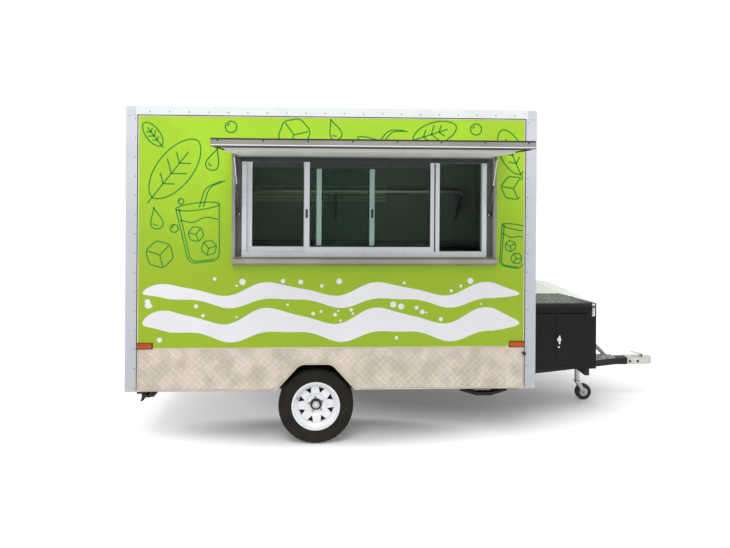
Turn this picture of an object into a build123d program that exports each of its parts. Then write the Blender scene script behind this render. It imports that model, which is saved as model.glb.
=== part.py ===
from build123d import *
import math
import os

os.makedirs("parts", exist_ok=True)

# The trailer stands level. The origin is the centre of the tow ball's socket, +X is the way it is
# towed, -Y is the side with the serving window, and +Z is up.

# Driving sizes of the whole trailer
ball_height = 370
box_length = 3200
box_width = 2000
box_bottom = 440
box_top = 2640
coupler_to_box = 1425
axle_from_rear = 1465
wall_thick = 50
roof_thick = 50
floor_top = 528
floor_thick = 28

# Clearances and small stocks that many pieces share
seat_gap = 0.3
running_gap = 5
pin_gap = 0.4
overrun = 20
sheet_thick = 3

front_x = -coupler_to_box
rear_x = front_x - box_length
side_y = box_width / 2
inner_y = side_y - wall_thick
axle_x = rear_x + axle_from_rear
near_and_far = (("near", -1), ("far", 1))


def level(height):
    """Z of a height above the ground."""
    return height - ball_height


def block(x_span, y_span, z_span, mode=Mode.ADD):
    """A straight bar or sheet between two corners, in the part that is open."""
    with Locations((min(x_span), min(y_span), min(z_span))):
        Box(
            abs(x_span[1] - x_span[0]),
            abs(y_span[1] - y_span[0]),
            abs(z_span[1] - z_span[0]),
            align=(Align.MIN, Align.MIN, Align.MIN),
            mode=mode,
        )


def outline_face(plane, points, corner_radius=0):
    """A closed face through points in the plane, its upper corners rounded by corner_radius."""
    with BuildSketch(plane) as shape:
        with BuildLine():
            Polyline(*points, close=True)
        make_face()
        if corner_radius > 0:
            fillet(shape.vertices().group_by(Axis.Y)[-1], radius=corner_radius)
    return shape.sketch


# Wheel arch and the closed well behind it
arch_top = 638
arch_half_top = 124
arch_half_bottom = 305
arch_corner = 90
well_half = 330
well_top = 660
well_depth = 243
well_inner_y = side_y - well_depth

arch_points = [
    (axle_x - arch_half_bottom, level(box_bottom)),
    (axle_x - arch_half_top, level(arch_top)),
    (axle_x + arch_half_top, level(arch_top)),
    (axle_x + arch_half_bottom, level(box_bottom)),
]

# Serving opening, measured from the rear face and above the ground
opening_from = 828
opening_front_margin = 337
opening_roof_margin = 378
opening_to = box_length - opening_front_margin
opening_bottom = 1474
opening_top = box_top - opening_roof_margin
opening_x = (rear_x + opening_from, rear_x + opening_to)

# Rear door opening
door_half = 365
door_header = 185
door_top = box_top - door_header
door_leaf_edge = 360
door_latch_edge = 358
door_leaf_thick = 40
door_window_half = 200
door_window_height = 600
door_window_margin = 355
door_window_top = door_top - door_window_margin
door_window_bottom = door_window_top - door_window_height

wall_top = box_top - roof_thick

# Walls, floor and roof
with BuildPart() as wall_near:
    with BuildSketch(Plane.XZ.offset(inner_y)):
        with Locations(((front_x + rear_x) / 2, level((box_bottom + wall_top) / 2))):
            Rectangle(box_length, wall_top - box_bottom)
        with Locations((sum(opening_x) / 2, level((opening_bottom + opening_top) / 2))):
            Rectangle(opening_to - opening_from, opening_top - opening_bottom, mode=Mode.SUBTRACT)
    extrude(amount=wall_thick)
    extrude(
        outline_face(Plane.XZ.offset(inner_y - overrun), arch_points, arch_corner),
        amount=wall_thick + 2 * overrun,
        mode=Mode.SUBTRACT,
    )

wall_near.part.label = "wall_near"
export_step(wall_near.part, "parts/wall_near.step")

with BuildPart() as wall_far:
    with BuildSketch(Plane.XZ.offset(-side_y)):
        with Locations(((front_x + rear_x) / 2, level((box_bottom + wall_top) / 2))):
            Rectangle(box_length, wall_top - box_bottom)
    extrude(amount=wall_thick)
    extrude(
        outline_face(Plane.XZ.offset(-side_y - overrun), arch_points, arch_corner),
        amount=wall_thick + 2 * overrun,
        mode=Mode.SUBTRACT,
    )

wall_far.part.label = "wall_far"
export_step(wall_far.part, "parts/wall_far.step")

with BuildPart() as wall_front:
    block((front_x - wall_thick, front_x), (-inner_y, inner_y), (level(box_bottom), level(wall_top)))

wall_front.part.label = "wall_front"
export_step(wall_front.part, "parts/wall_front.step")

with BuildPart() as wall_rear:
    block((rear_x, rear_x + wall_thick), (-inner_y, inner_y), (level(box_bottom), level(wall_top)))
    block(
        (rear_x - overrun, rear_x + wall_thick + overrun),
        (-door_half, door_half),
        (level(floor_top), level(door_top)),
        mode=Mode.SUBTRACT,
    )

wall_rear.part.label = "wall_rear"
export_step(wall_rear.part, "parts/wall_rear.step")

with BuildPart() as roof_panel:
    block((rear_x, front_x), (-side_y, side_y), (level(wall_top), level(box_top)))

roof_panel.part.label = "roof_panel"
export_step(roof_panel.part, "parts/roof_panel.step")

with BuildPart() as floor_panel:
    block(
        (rear_x + wall_thick, front_x - wall_thick),
        (-inner_y, inner_y),
        (level(floor_top - floor_thick), level(floor_top)),
    )
    for side, sign in near_and_far:
        block(
            (axle_x - well_half - sheet_thick, axle_x + well_half + sheet_thick),
            (sign * well_inner_y, sign * (inner_y + overrun)),
            (level(box_bottom), level(floor_top + overrun)),
            mode=Mode.SUBTRACT,
        )

floor_panel.part.label = "floor_panel"
export_step(floor_panel.part, "parts/floor_panel.step")

# Each wheel well is a sheet box, open below and towards the arch
with BuildPart() as wheel_wells:
    for side, sign in near_and_far:
        block(
            (axle_x - well_half - sheet_thick, axle_x + well_half + sheet_thick),
            (sign * well_inner_y, sign * inner_y),
            (level(box_bottom), level(well_top + sheet_thick)),
        )
        block(
            (axle_x - well_half, axle_x + well_half),
            (sign * (well_inner_y + sheet_thick), sign * (inner_y + overrun)),
            (level(box_bottom - overrun), level(well_top)),
            mode=Mode.SUBTRACT,
        )

wheel_wells.part.label = "wheel_wells"
export_step(wheel_wells.part, "parts/wheel_wells.step")

# Folded corner trims, one up each corner of the box
trim_leg = 85
trim_drop = 62
trim_bottom = level(box_bottom)
trim_top = level(box_top - trim_drop)
corners = (  # name, wall corner x, wall corner y, inward x, inward y
    ("front_near", front_x, -side_y, -1, 1),
    ("front_far", front_x, side_y, -1, -1),
    ("rear_near", rear_x, -side_y, 1, 1),
    ("rear_far", rear_x, side_y, 1, -1),
)
with BuildPart() as corner_trims:
    for name, corner_x, corner_y, dx, dy in corners:
        out_x = corner_x - dx * sheet_thick
        out_y = corner_y - dy * sheet_thick
        angle_points = [
            (out_x, out_y),
            (out_x + dx * trim_leg, out_y),
            (out_x + dx * trim_leg, corner_y),
            (corner_x, corner_y),
            (corner_x, out_y + dy * trim_leg),
            (out_x, out_y + dy * trim_leg),
        ]
        with BuildSketch(Plane.XY.offset(trim_bottom)):
            with BuildLine():
                Polyline(*angle_points, close=True)
            make_face()
        extrude(amount=trim_top - trim_bottom)

corner_trims.part.label = "corner_trims"
export_step(corner_trims.part, "parts/corner_trims.step")

with BuildPart() as roof_trim:
    block(
        (rear_x - sheet_thick, front_x + sheet_thick),
        (-side_y - sheet_thick, side_y + sheet_thick),
        (trim_top, level(box_top) + sheet_thick),
    )
    block(
        (rear_x, front_x),
        (-side_y, side_y),
        (trim_top - overrun, level(box_top)),
        mode=Mode.SUBTRACT,
    )
    block(
        (rear_x + trim_drop, front_x - trim_drop),
        (-side_y + trim_drop, side_y - trim_drop),
        (level(box_top) - overrun, level(box_top) + sheet_thick + overrun),
        mode=Mode.SUBTRACT,
    )

roof_trim.part.label = "roof_trim"
export_step(roof_trim.part, "parts/roof_trim.step")

# Tread plate skirts round the foot of the box, one sheet to each side
skirt_top = 766
skirt_inset = trim_leg - sheet_thick
skirt_z = (level(box_bottom), level(skirt_top))
with BuildPart() as tread_skirts:
    for side, sign in near_and_far:
        block(
            (rear_x + skirt_inset, front_x - skirt_inset),
            (sign * side_y, sign * (side_y + sheet_thick)),
            skirt_z,
        )
    extrude(
        outline_face(Plane.XZ.offset(-side_y - overrun), arch_points, arch_corner),
        amount=box_width + 2 * overrun,
        mode=Mode.SUBTRACT,
    )
    block((front_x, front_x + sheet_thick), (-side_y + skirt_inset, side_y - skirt_inset), skirt_z)
    block((rear_x - sheet_thick, rear_x), (-side_y + skirt_inset, side_y - skirt_inset), skirt_z)
    block(
        (rear_x - sheet_thick - overrun, rear_x + overrun),
        (-door_half, door_half),
        (level(floor_top), level(skirt_top + overrun)),
        mode=Mode.SUBTRACT,
    )

tread_skirts.part.label = "tread_skirts"
export_step(tread_skirts.part, "parts/tread_skirts.step")

# Chassis: two rails, cross members under the ends and joists under the floor
rail_inset = 280
rail_y = side_y - rail_inset
rail_width = 50
rail_bottom = 405
rail_height = 60
joist_height = 35
joist_width = 40
joist_pitch = 410
drawbar_run_share = 0.2
beam_width = 70
rear_beam_from = 72
beam_y = side_y - wall_thick - running_gap
rail_top = rail_bottom + rail_height
joist_span = box_length - 2 * wall_thick - joist_width
joist_count = 1 + math.ceil(joist_span / joist_pitch)
cross_members = (  # name, centre x, half length along y
    ("rear beam", rear_x + rear_beam_from + beam_width / 2, beam_y),
    ("spring hanger beam", axle_x - well_half - beam_width, rail_y),
    ("front hanger beam", axle_x + well_half + beam_width, rail_y),
    ("drawbar end beam", front_x - drawbar_run_share * box_length, rail_y),
    ("front beam", front_x - wall_thick - beam_width / 2, rail_y),
)
with BuildPart() as chassis_frame:
    for side, sign in near_and_far:
        block(
            (rear_x + wall_thick, front_x - wall_thick),
            (sign * (rail_y - rail_width / 2), sign * (rail_y + rail_width / 2)),
            (level(rail_bottom), level(rail_top)),
        )
    for name, centre_x, half_length in cross_members:
        block(
            (centre_x - beam_width / 2, centre_x + beam_width / 2),
            (-half_length, half_length),
            (level(rail_bottom), level(rail_top)),
        )

chassis_frame.part.label = "chassis_frame"
export_step(chassis_frame.part, "parts/chassis_frame.step")

with BuildPart() as floor_joists:
    for index in range(joist_count):
        joist_x = rear_x + wall_thick + joist_width / 2 + index * joist_span / (joist_count - 1)
        beside_well = abs(joist_x - axle_x) < well_half + joist_width
        joist_end = well_inner_y - running_gap if beside_well else inner_y
        block(
            (joist_x - joist_width / 2, joist_x + joist_width / 2),
            (-joist_end, joist_end),
            (level(rail_top), level(rail_top + joist_height)),
        )

floor_joists.part.label = "floor_joists"
export_step(floor_joists.part, "parts/floor_joists.step")

# Drawbar: two rails that run together towards the coupler
bar_height = 60
bar_width = 50
bar_half_angle = 17
tip_length = 200
tip_half = 50
tip_front_x = -130
tip_rear_x = tip_front_x - tip_length
bar_end_x = front_x - drawbar_run_share * box_length - beam_width / 2
bar_bottom = level(rail_bottom - bar_height)
bar_top = level(rail_bottom)
jack_from_box = 738
jack_x = front_x + jack_from_box
jack_tube_r = 30
bar_slope = math.tan(math.radians(bar_half_angle))
bar_cross = bar_width / math.cos(math.radians(bar_half_angle))


def bar_outer_y(x):
    """Outer side of a drawbar rail at x, on the +Y side."""
    return tip_half + (tip_rear_x - x) * bar_slope


with BuildPart() as drawbar:
    block((tip_rear_x, tip_front_x), (-tip_half, tip_half), (bar_bottom, bar_top))
    for side, sign in near_and_far:
        with BuildSketch(Plane.XY.offset(bar_bottom)):
            with BuildLine():
                Polyline(
                    (tip_rear_x, sign * tip_half),
                    (tip_rear_x, 0),
                    (tip_rear_x - bar_cross / 2, 0),
                    (bar_end_x, sign * (bar_outer_y(bar_end_x) - bar_cross)),
                    (bar_end_x, sign * bar_outer_y(bar_end_x)),
                    close=True,
                )
            make_face()
        extrude(amount=bar_height)
    jack_cross_half = bar_outer_y(jack_x) - bar_cross / 2
    jack_cross_x = jack_tube_r + bar_width / 2
    block(
        (jack_x - jack_cross_x, jack_x + jack_cross_x),
        (-jack_cross_half, jack_cross_half),
        (bar_bottom, bar_top),
    )
    with Locations((jack_x, 0, bar_bottom + bar_height / 2)):
        Cylinder(jack_tube_r + seat_gap, bar_height + overrun, mode=Mode.SUBTRACT)

drawbar.part.label = "drawbar"
export_step(drawbar.part, "parts/drawbar.step")

# Step plate over the front of the drawbar and the two stays to the locker
plate_thick = 6
plate_rear_x = jack_x + jack_cross_x
stay_foot_x = -395
stay_width = 30
stay_depth = 24
stay_y = 75
locker_box_gap = 40
locker_length = 638
locker_rear_x = front_x + locker_box_gap
locker_front_x = locker_rear_x + locker_length
with BuildPart() as drawbar_plate:
    with BuildSketch(Plane.XY.offset(bar_top)):
        with BuildLine():
            Polyline(
                (tip_rear_x, -tip_half),
                (tip_rear_x, tip_half),
                (plate_rear_x, bar_outer_y(plate_rear_x)),
                (plate_rear_x, -bar_outer_y(plate_rear_x)),
                close=True,
            )
        make_face()
    extrude(amount=plate_thick)
    stay_base = bar_top + plate_thick
    stay_reach = stay_foot_x - locker_front_x
    stay_points = [
        (stay_foot_x, stay_base),
        (locker_front_x, stay_base + stay_reach),
        (locker_front_x, stay_base + stay_reach - stay_depth),
        (stay_foot_x - stay_depth, stay_base),
    ]
    for side, sign in near_and_far:
        stay_plane = Plane.XZ.offset(-sign * stay_y + stay_width / 2)
        extrude(outline_face(stay_plane, stay_points), amount=-stay_width)

drawbar_plate.part.label = "drawbar_plate"
export_step(drawbar_plate.part, "parts/drawbar_plate.step")

# Coupler: a pressed channel over the drawbar's tip with the ball socket in its nose
ball_bore_r = 25.6
socket_wall = 10
socket_depth = 24
coupler_rear_x = -220
channel_wall = 6
channel_half = tip_half + channel_wall
nose_r = ball_bore_r + socket_wall
with BuildPart() as coupler:
    with BuildSketch(Plane.XY.offset(bar_bottom)):
        with BuildLine():
            Polyline(
                (coupler_rear_x, -channel_half),
                (coupler_rear_x, channel_half),
                (tip_front_x, channel_half),
                (0, nose_r),
                (0, -nose_r),
                (tip_front_x, -channel_half),
                close=True,
            )
        make_face()
    extrude(amount=bar_height + channel_wall)
    fillet(coupler.faces().sort_by(Axis.Z)[-1].edges().filter_by(Axis.X), radius=channel_wall)
    block(
        (coupler_rear_x - overrun, tip_front_x),
        (-tip_half, tip_half),
        (bar_bottom - overrun, bar_top),
        mode=Mode.SUBTRACT,
    )
    with Locations((0, 0, -socket_depth)):
        Cylinder(
            nose_r, bar_height + channel_wall + bar_bottom + socket_depth,
            align=(Align.CENTER, Align.CENTER, Align.MIN),
        )
    with Locations((0, 0, -socket_depth - overrun)):
        Cylinder(
            ball_bore_r, socket_depth + overrun,
            align=(Align.CENTER, Align.CENTER, Align.MIN),
            mode=Mode.SUBTRACT,
        )
    Sphere(ball_bore_r, mode=Mode.SUBTRACT)

coupler.part.label = "coupler"
export_step(coupler.part, "parts/coupler.step")

lever_width = 22
lever_thick = 10
lever_base = bar_top + channel_wall
lever_rear_x = -165
lever_front_x = -50
lever_rise = 42
with BuildPart() as coupler_lever:
    lever_points = [
        (lever_front_x, lever_base),
        (lever_front_x - lever_width, lever_base),
        (lever_front_x - lever_width, lever_base + lever_thick),
        (lever_rear_x, lever_base + lever_rise),
        (lever_rear_x, lever_base + lever_rise + lever_thick),
        (lever_front_x, lever_base + lever_width),
    ]
    extrude(outline_face(Plane.XZ.offset(lever_width / 2), lever_points), amount=-lever_width)

coupler_lever.part.label = "coupler_lever"
export_step(coupler_lever.part, "parts/coupler_lever.step")

# Jockey jack: a tube clamped in the drawbar, its post, and a trailing caster wheel
jack_top = 660
jack_bottom = 300
jack_post_r = 24
fork_top = 184
jack_wheel_r = 75
jack_wheel_width = 45
jack_trail = 57
fork_wall = 5
fork_half = jack_wheel_width / 2 + running_gap
crank_reach = 110
crank_r = 7
crank_knob_r = 13
crank_knob_length = 70
with BuildPart() as jack_leg:
    with BuildSketch(Plane.XY.offset(level(jack_bottom))):
        with Locations((jack_x, 0)):
            Circle(jack_tube_r)
    extrude(amount=jack_top - jack_bottom)
    with BuildSketch(Plane.XY.offset(bar_top)):
        with Locations((jack_x, 0)):
            Circle(jack_tube_r + plate_thick * 2)
    extrude(amount=plate_thick)
    with BuildSketch(Plane.XY.offset(level(fork_top) + seat_gap)):
        with Locations((jack_x, 0)):
            Circle(jack_post_r)
    extrude(amount=jack_bottom - fork_top)
    with BuildSketch(Plane.XZ.offset(jack_tube_r - crank_r)):
        with Locations((jack_x, level(jack_top) - 3 * crank_r)):
            Circle(crank_r)
    extrude(amount=4 * crank_r)
    crank_plane_y = jack_tube_r + 2 * crank_r
    with BuildSketch(Plane.XZ.offset(crank_plane_y)):
        with Locations((jack_x, level(jack_top) - 3 * crank_r - crank_reach / 2)):
            SlotCenterToCenter(crank_reach, 2 * crank_r, rotation=90)
    extrude(amount=crank_r)
    with BuildSketch(Plane.XZ.offset(crank_plane_y)):
        with Locations((jack_x, level(jack_top) - 3 * crank_r - crank_reach)):
            Circle(crank_knob_r)
    extrude(amount=crank_knob_length)

jack_leg.part.label = "jack_leg"
export_step(jack_leg.part, "parts/jack_leg.step")

wheel_x = jack_x + jack_trail
fork_slope_share = 0.62
with BuildPart() as jack_fork:
    with BuildSketch(Plane.XY.offset(level(fork_top - fork_wall))):
        with Locations((jack_x, 0)):
            Circle(fork_half + fork_wall)
    extrude(amount=fork_wall)
    fork_points = [
        (jack_x - jack_post_r, level(fork_top - fork_wall)),
        (jack_x + jack_post_r, level(fork_top - fork_wall)),
        (wheel_x + jack_post_r * fork_slope_share, level(jack_wheel_r)),
        (wheel_x, level(jack_wheel_r) - jack_post_r * fork_slope_share),
        (wheel_x - jack_post_r * fork_slope_share, level(jack_wheel_r)),
    ]
    for side, sign in near_and_far:
        cheek_plane = Plane.XZ.offset(-sign * (fork_half + fork_wall / 2) + fork_wall / 2)
        extrude(outline_face(cheek_plane, fork_points), amount=-fork_wall)
    with BuildSketch(Plane.XZ.offset(-fork_half - fork_wall)):
        with Locations((wheel_x, level(jack_wheel_r))):
            Circle(crank_r)
    extrude(amount=2 * fork_half + 2 * fork_wall)

jack_fork.part.label = "jack_fork"
export_step(jack_fork.part, "parts/jack_fork.step")

jack_wheel_edge = 8
with BuildPart() as jack_wheel:
    with BuildSketch(Plane.XZ.offset(-jack_wheel_width / 2)):
        with Locations((wheel_x, level(jack_wheel_r))):
            Circle(jack_wheel_r)
            Circle(crank_r + seat_gap, mode=Mode.SUBTRACT)
    extrude(amount=jack_wheel_width)
    fillet(jack_wheel.edges().filter_by(GeomType.CIRCLE).sort_by(SortBy.RADIUS)[-2:], radius=jack_wheel_edge)

jack_wheel.part.label = "jack_wheel"
export_step(jack_wheel.part, "parts/jack_wheel.step")

# Road wheels: tyre, pressed steel rim with eight windows, and hub with its brake drum
tyre_r = 298
tyre_width = 185
wheel_inset = 30
tyre_outer_y = side_y - wheel_inset
tyre_inner_y = tyre_outer_y - tyre_width
tyre_mid_y = (tyre_outer_y + tyre_inner_y) / 2
tyre_shoulder = 26
tyre_crown = 8
rim_flange_r = 195.5
rim_seat_r = 181
rim_well_r = 152
rim_half = 80
rim_thick = 4
rim_well_half = 25
rim_ramp = 22
disc_inset = 75
disc_y = tyre_outer_y - disc_inset
disc_thick = 6
disc_flat_r = 72
disc_bulge = 12
disc_ramp = 20
hub_bore_r = 43
window_count = 8
window_phase = 26
window_inner_r = 94
window_outer_r = 139
window_half = 25
window_corner = 6
lug_count = 5
lug_circle_r = 57.15
lug_hole_r = 8
stud_r = 6
stud_reach = 22
drum_r = 110
drum_wall = 8
drum_from = 204
drum_width = 64
drum_inner_y = tyre_outer_y - drum_from
drum_outer_y = drum_inner_y + drum_width
hub_r = 40
cap_r = 28
cap_inset = 40
cap_outer_y = tyre_outer_y - cap_inset
spindle_r = 17
spindle_gap = 0.5
spindle_inset = 82
hub_inset = 65
spindle_end_y = tyre_outer_y - spindle_inset
hub_end_y = tyre_outer_y - hub_inset
axle_z = level(tyre_r)
wheel_axis = Axis((axle_x, 0, axle_z), (0, 1, 0))
tyre_half = tyre_width / 2
tyre_bead_half = rim_half - rim_thick
tyre_bead_r = rim_seat_r + seat_gap
flange_clear_r = rim_flange_r + seat_gap * 4
shoulder_r = tyre_r - tyre_shoulder
tread_edge_r = tyre_r - tyre_crown / 2
disc_u = disc_y - tyre_mid_y

for side, sign in near_and_far:
    section_plane = Plane(origin=(axle_x, sign * tyre_mid_y, axle_z), x_dir=(0, sign, 0), z_dir=(sign, 0, 0))
    with BuildPart() as tyre:
        with BuildSketch(section_plane):
            with BuildLine():
                Polyline(
                    (-tyre_bead_half, flange_clear_r),
                    (-tyre_bead_half, tyre_bead_r),
                    (tyre_bead_half, tyre_bead_r),
                    (tyre_bead_half, flange_clear_r),
                )
                ThreePointArc(
                    (tyre_bead_half, flange_clear_r),
                    (tyre_half, (flange_clear_r + shoulder_r) / 2),
                    (tyre_half - tyre_crown, shoulder_r),
                )
                ThreePointArc(
                    (tyre_half - tyre_crown, shoulder_r),
                    (tyre_half - tyre_shoulder / 2, tyre_r - tyre_shoulder / 3),
                    (tyre_half - tyre_shoulder, tread_edge_r),
                )
                ThreePointArc(
                    (tyre_half - tyre_shoulder, tread_edge_r),
                    (0, tyre_r),
                    (tyre_shoulder - tyre_half, tread_edge_r),
                )
                ThreePointArc(
                    (tyre_shoulder - tyre_half, tread_edge_r),
                    (tyre_shoulder / 2 - tyre_half, tyre_r - tyre_shoulder / 3),
                    (tyre_crown - tyre_half, shoulder_r),
                )
                ThreePointArc(
                    (tyre_crown - tyre_half, shoulder_r),
                    (-tyre_half, (flange_clear_r + shoulder_r) / 2),
                    (-tyre_bead_half, flange_clear_r),
                )
            make_face()
        revolve(axis=wheel_axis)
    tyre.part.label = f"tyre_{side}"
    export_step(tyre.part, f"parts/tyre_{side}.step")

    barrel_outer = [
        (rim_half, rim_flange_r),
        (tyre_bead_half, rim_flange_r),
        (tyre_bead_half, rim_seat_r),
        (rim_well_half + rim_ramp, rim_seat_r),
        (rim_well_half, rim_well_r),
        (-rim_well_half, rim_well_r),
        (-rim_well_half - rim_ramp, rim_seat_r),
        (-tyre_bead_half, rim_seat_r),
        (-tyre_bead_half, rim_flange_r),
        (-rim_half, rim_flange_r),
    ]
    barrel_inner = [
        (-rim_half, rim_seat_r - rim_thick),
        (-rim_well_half - rim_ramp - rim_thick, rim_seat_r - rim_thick),
        (-rim_well_half - rim_thick, rim_well_r - rim_thick),
        (rim_well_half + rim_thick, rim_well_r - rim_thick),
        (rim_well_half + rim_ramp + rim_thick, rim_seat_r - rim_thick),
        (rim_half, rim_seat_r - rim_thick),
    ]
    disc_points = [
        (disc_u, hub_bore_r),
        (disc_u, disc_flat_r),
        (disc_u + disc_bulge, disc_flat_r + disc_ramp),
        (disc_u + disc_bulge, rim_well_r - disc_ramp / 2),
        (disc_u, rim_well_r - rim_thick / 2),
        (disc_u + disc_thick, rim_well_r - rim_thick / 2),
        (disc_u + disc_bulge + disc_thick, rim_well_r - disc_ramp / 2),
        (disc_u + disc_bulge + disc_thick, disc_flat_r + disc_ramp),
        (disc_u + disc_thick, disc_flat_r),
        (disc_u + disc_thick, hub_bore_r),
    ]
    window_points = [
        (window_inner_r, 0),
        (window_outer_r, window_half),
        (window_outer_r, -window_half),
    ]
    with BuildPart() as rim:
        with BuildSketch(section_plane):
            with BuildLine():
                Polyline(*barrel_outer, *barrel_inner, close=True)
            make_face()
        revolve(axis=wheel_axis)
        with BuildSketch(section_plane):
            with BuildLine():
                Polyline(*disc_points, close=True)
            make_face()
        revolve(axis=wheel_axis)
        disc_origin = (axle_x, sign * (disc_y - overrun), axle_z)
        disc_plane = Plane(origin=disc_origin, x_dir=(1, 0, 0), z_dir=(0, sign, 0))
        with BuildSketch(disc_plane):
            with PolarLocations(0, window_count, start_angle=window_phase):
                with BuildLine(mode=Mode.PRIVATE) as window_line:
                    Polyline(*window_points, close=True)
                add(make_face(window_line.line, mode=Mode.PRIVATE))
            with PolarLocations(lug_circle_r, lug_count, start_angle=window_phase):
                Circle(lug_hole_r)
        extrude(amount=2 * overrun + disc_bulge + disc_thick, mode=Mode.SUBTRACT)
    rim.part.label = f"rim_{side}"
    export_step(rim.part, f"parts/rim_{side}.step")

    hub_plane = Plane(origin=(axle_x, 0, axle_z), x_dir=(0, sign, 0), z_dir=(sign, 0, 0))
    hub_points = [
        (drum_inner_y, drum_r - drum_wall),
        (drum_inner_y, drum_r),
        (drum_outer_y, drum_r),
        (drum_outer_y + drum_wall, drum_r - drum_wall),
        (drum_outer_y + drum_wall, hub_r),
        (disc_y - drum_wall, hub_r),
        (disc_y - drum_wall, disc_flat_r),
        (disc_y - seat_gap, disc_flat_r),
        (disc_y - seat_gap, hub_r),
        (hub_end_y, hub_r),
        (hub_end_y, cap_r),
        (cap_outer_y - drum_wall, cap_r),
        (cap_outer_y, cap_r - drum_wall),
        (cap_outer_y, 0),
        (hub_end_y - drum_wall, 0),
        (hub_end_y - drum_wall, spindle_r + spindle_gap),
        (drum_outer_y, spindle_r + spindle_gap),
        (drum_outer_y, drum_r - drum_wall),
    ]
    with BuildPart() as hub:
        with BuildSketch(hub_plane):
            with BuildLine():
                Polyline(*hub_points, close=True)
            make_face()
        revolve(axis=wheel_axis)
        stud_origin = (axle_x, sign * (disc_y - drum_wall), axle_z)
        stud_plane = Plane(origin=stud_origin, x_dir=(1, 0, 0), z_dir=(0, sign, 0))
        with BuildSketch(stud_plane):
            with PolarLocations(lug_circle_r, lug_count, start_angle=window_phase):
                Circle(stud_r)
        extrude(amount=drum_wall + stud_reach)
    hub.part.label = f"hub_{side}"
    export_step(hub.part, f"parts/hub_{side}.step")

# Axle beam with its spindles and brake backplates, on two leaf springs
beam_half = 22.5
beam_inset = 218
beam_end_y = tyre_outer_y - beam_inset
backplate_r = 105
backplate_thick = 5
backplate_y = drum_inner_y - running_gap - backplate_thick
spring_half_length = 300
spring_sag = 30
leaf_thick = 8
leaf_width = 50
leaf_shares = (0.42, 0.62, 0.82, 1.0)
spring_eye_r = 13
hanger_length = 34
hanger_width = 60
clamp_half = 45
clamp_thick = 10
with BuildPart() as axle_beam:
    block(
        (axle_x - beam_half, axle_x + beam_half),
        (-beam_end_y, beam_end_y),
        (axle_z - beam_half, axle_z + beam_half),
    )
    for side, sign in near_and_far:
        out_plane = Plane(origin=(axle_x, sign * beam_end_y, axle_z), x_dir=(1, 0, 0), z_dir=(0, sign, 0))
        with BuildSketch(out_plane):
            Circle(spindle_r)
        extrude(amount=spindle_end_y - beam_end_y)
        with BuildSketch(out_plane.offset(backplate_y - beam_end_y)):
            Circle(backplate_r)
        extrude(amount=backplate_thick)

axle_beam.part.label = "axle_beam"
export_step(axle_beam.part, "parts/axle_beam.step")

spring_base = axle_z + beam_half
spring_curve_r = (spring_half_length**2 + spring_sag**2) / (2 * spring_sag)
spring_centre_z = spring_base + spring_curve_r
with BuildPart() as leaf_springs:
    for side, sign in near_and_far:
        spring_plane = Plane.XZ.offset(-sign * rail_y - leaf_width / 2)
        hanger_plane = Plane.XZ.offset(-sign * rail_y - hanger_width / 2)
        for index, length_share in enumerate(leaf_shares):
            outer_r = spring_curve_r - index * leaf_thick
            inner_r = outer_r - leaf_thick
            half_angle = math.asin(length_share * spring_half_length / spring_curve_r)
            outer_reach = outer_r * math.sin(half_angle)
            inner_reach = inner_r * math.sin(half_angle)
            outer_z = spring_centre_z - outer_r * math.cos(half_angle)
            inner_z = spring_centre_z - inner_r * math.cos(half_angle)
            with BuildSketch(spring_plane):
                with BuildLine():
                    ThreePointArc(
                        (axle_x - outer_reach, outer_z),
                        (axle_x, spring_centre_z - outer_r),
                        (axle_x + outer_reach, outer_z),
                    )
                    Line((axle_x + outer_reach, outer_z), (axle_x + inner_reach, inner_z))
                    ThreePointArc(
                        (axle_x + inner_reach, inner_z),
                        (axle_x, spring_centre_z - inner_r),
                        (axle_x - inner_reach, inner_z),
                    )
                    Line((axle_x - inner_reach, inner_z), (axle_x - outer_reach, outer_z))
                make_face()
            extrude(amount=leaf_width)
        with BuildSketch(spring_plane):
            with Locations((axle_x - inner_reach, inner_z), (axle_x + inner_reach, inner_z)):
                Circle(spring_eye_r)
        extrude(amount=leaf_width)
        hanger_z = (inner_z + level(rail_bottom)) / 2
        with BuildSketch(hanger_plane):
            with Locations((axle_x - inner_reach, hanger_z), (axle_x + inner_reach, hanger_z)):
                Rectangle(hanger_length, level(rail_bottom) - inner_z)
        extrude(amount=hanger_width)
        clamp_z = spring_base + len(leaf_shares) * leaf_thick
        block(
            (axle_x - clamp_half, axle_x + clamp_half),
            (sign * rail_y - hanger_width / 2 - running_gap, sign * rail_y + hanger_width / 2 + running_gap),
            (clamp_z, clamp_z + clamp_thick),
        )

leaf_springs.part.label = "leaf_springs"
export_step(leaf_springs.part, "parts/leaf_springs.step")

# Folded scissor stabilisers: a screw through a flat diamond, between a top channel and a foot
stabiliser_top = rail_bottom
stabiliser_foot = 300
stabiliser_screw_length = 493
stabiliser_span = 390
stabiliser_foot_half = 60
stabiliser_width = 60
arm_depth = 26
screw_r = 8
front_stabiliser_x = -1968
rear_stabiliser_inset = 60
rear_stabiliser_y = side_y - rear_stabiliser_inset
rear_beam_x = cross_members[0][1]
stabiliser_start_y = rear_stabiliser_y - stabiliser_screw_length
stabiliser_z = level(stabiliser_foot)
stabiliser_places = (  # start point, direction of the screw
    ((front_stabiliser_x, -rail_y, stabiliser_z), (1, 0, 0)),
    ((front_stabiliser_x, rail_y, stabiliser_z), (1, 0, 0)),
    ((rear_beam_x, -stabiliser_start_y, stabiliser_z), (0, -1, 0)),
    ((rear_beam_x, stabiliser_start_y, stabiliser_z), (0, 1, 0)),
)
stabiliser_mid = stabiliser_span / 2
stabiliser_rise = stabiliser_top - stabiliser_foot
pivot_rise = stabiliser_rise / 2
foot_from = stabiliser_mid - stabiliser_foot_half
foot_to = stabiliser_mid + stabiliser_foot_half
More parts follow.
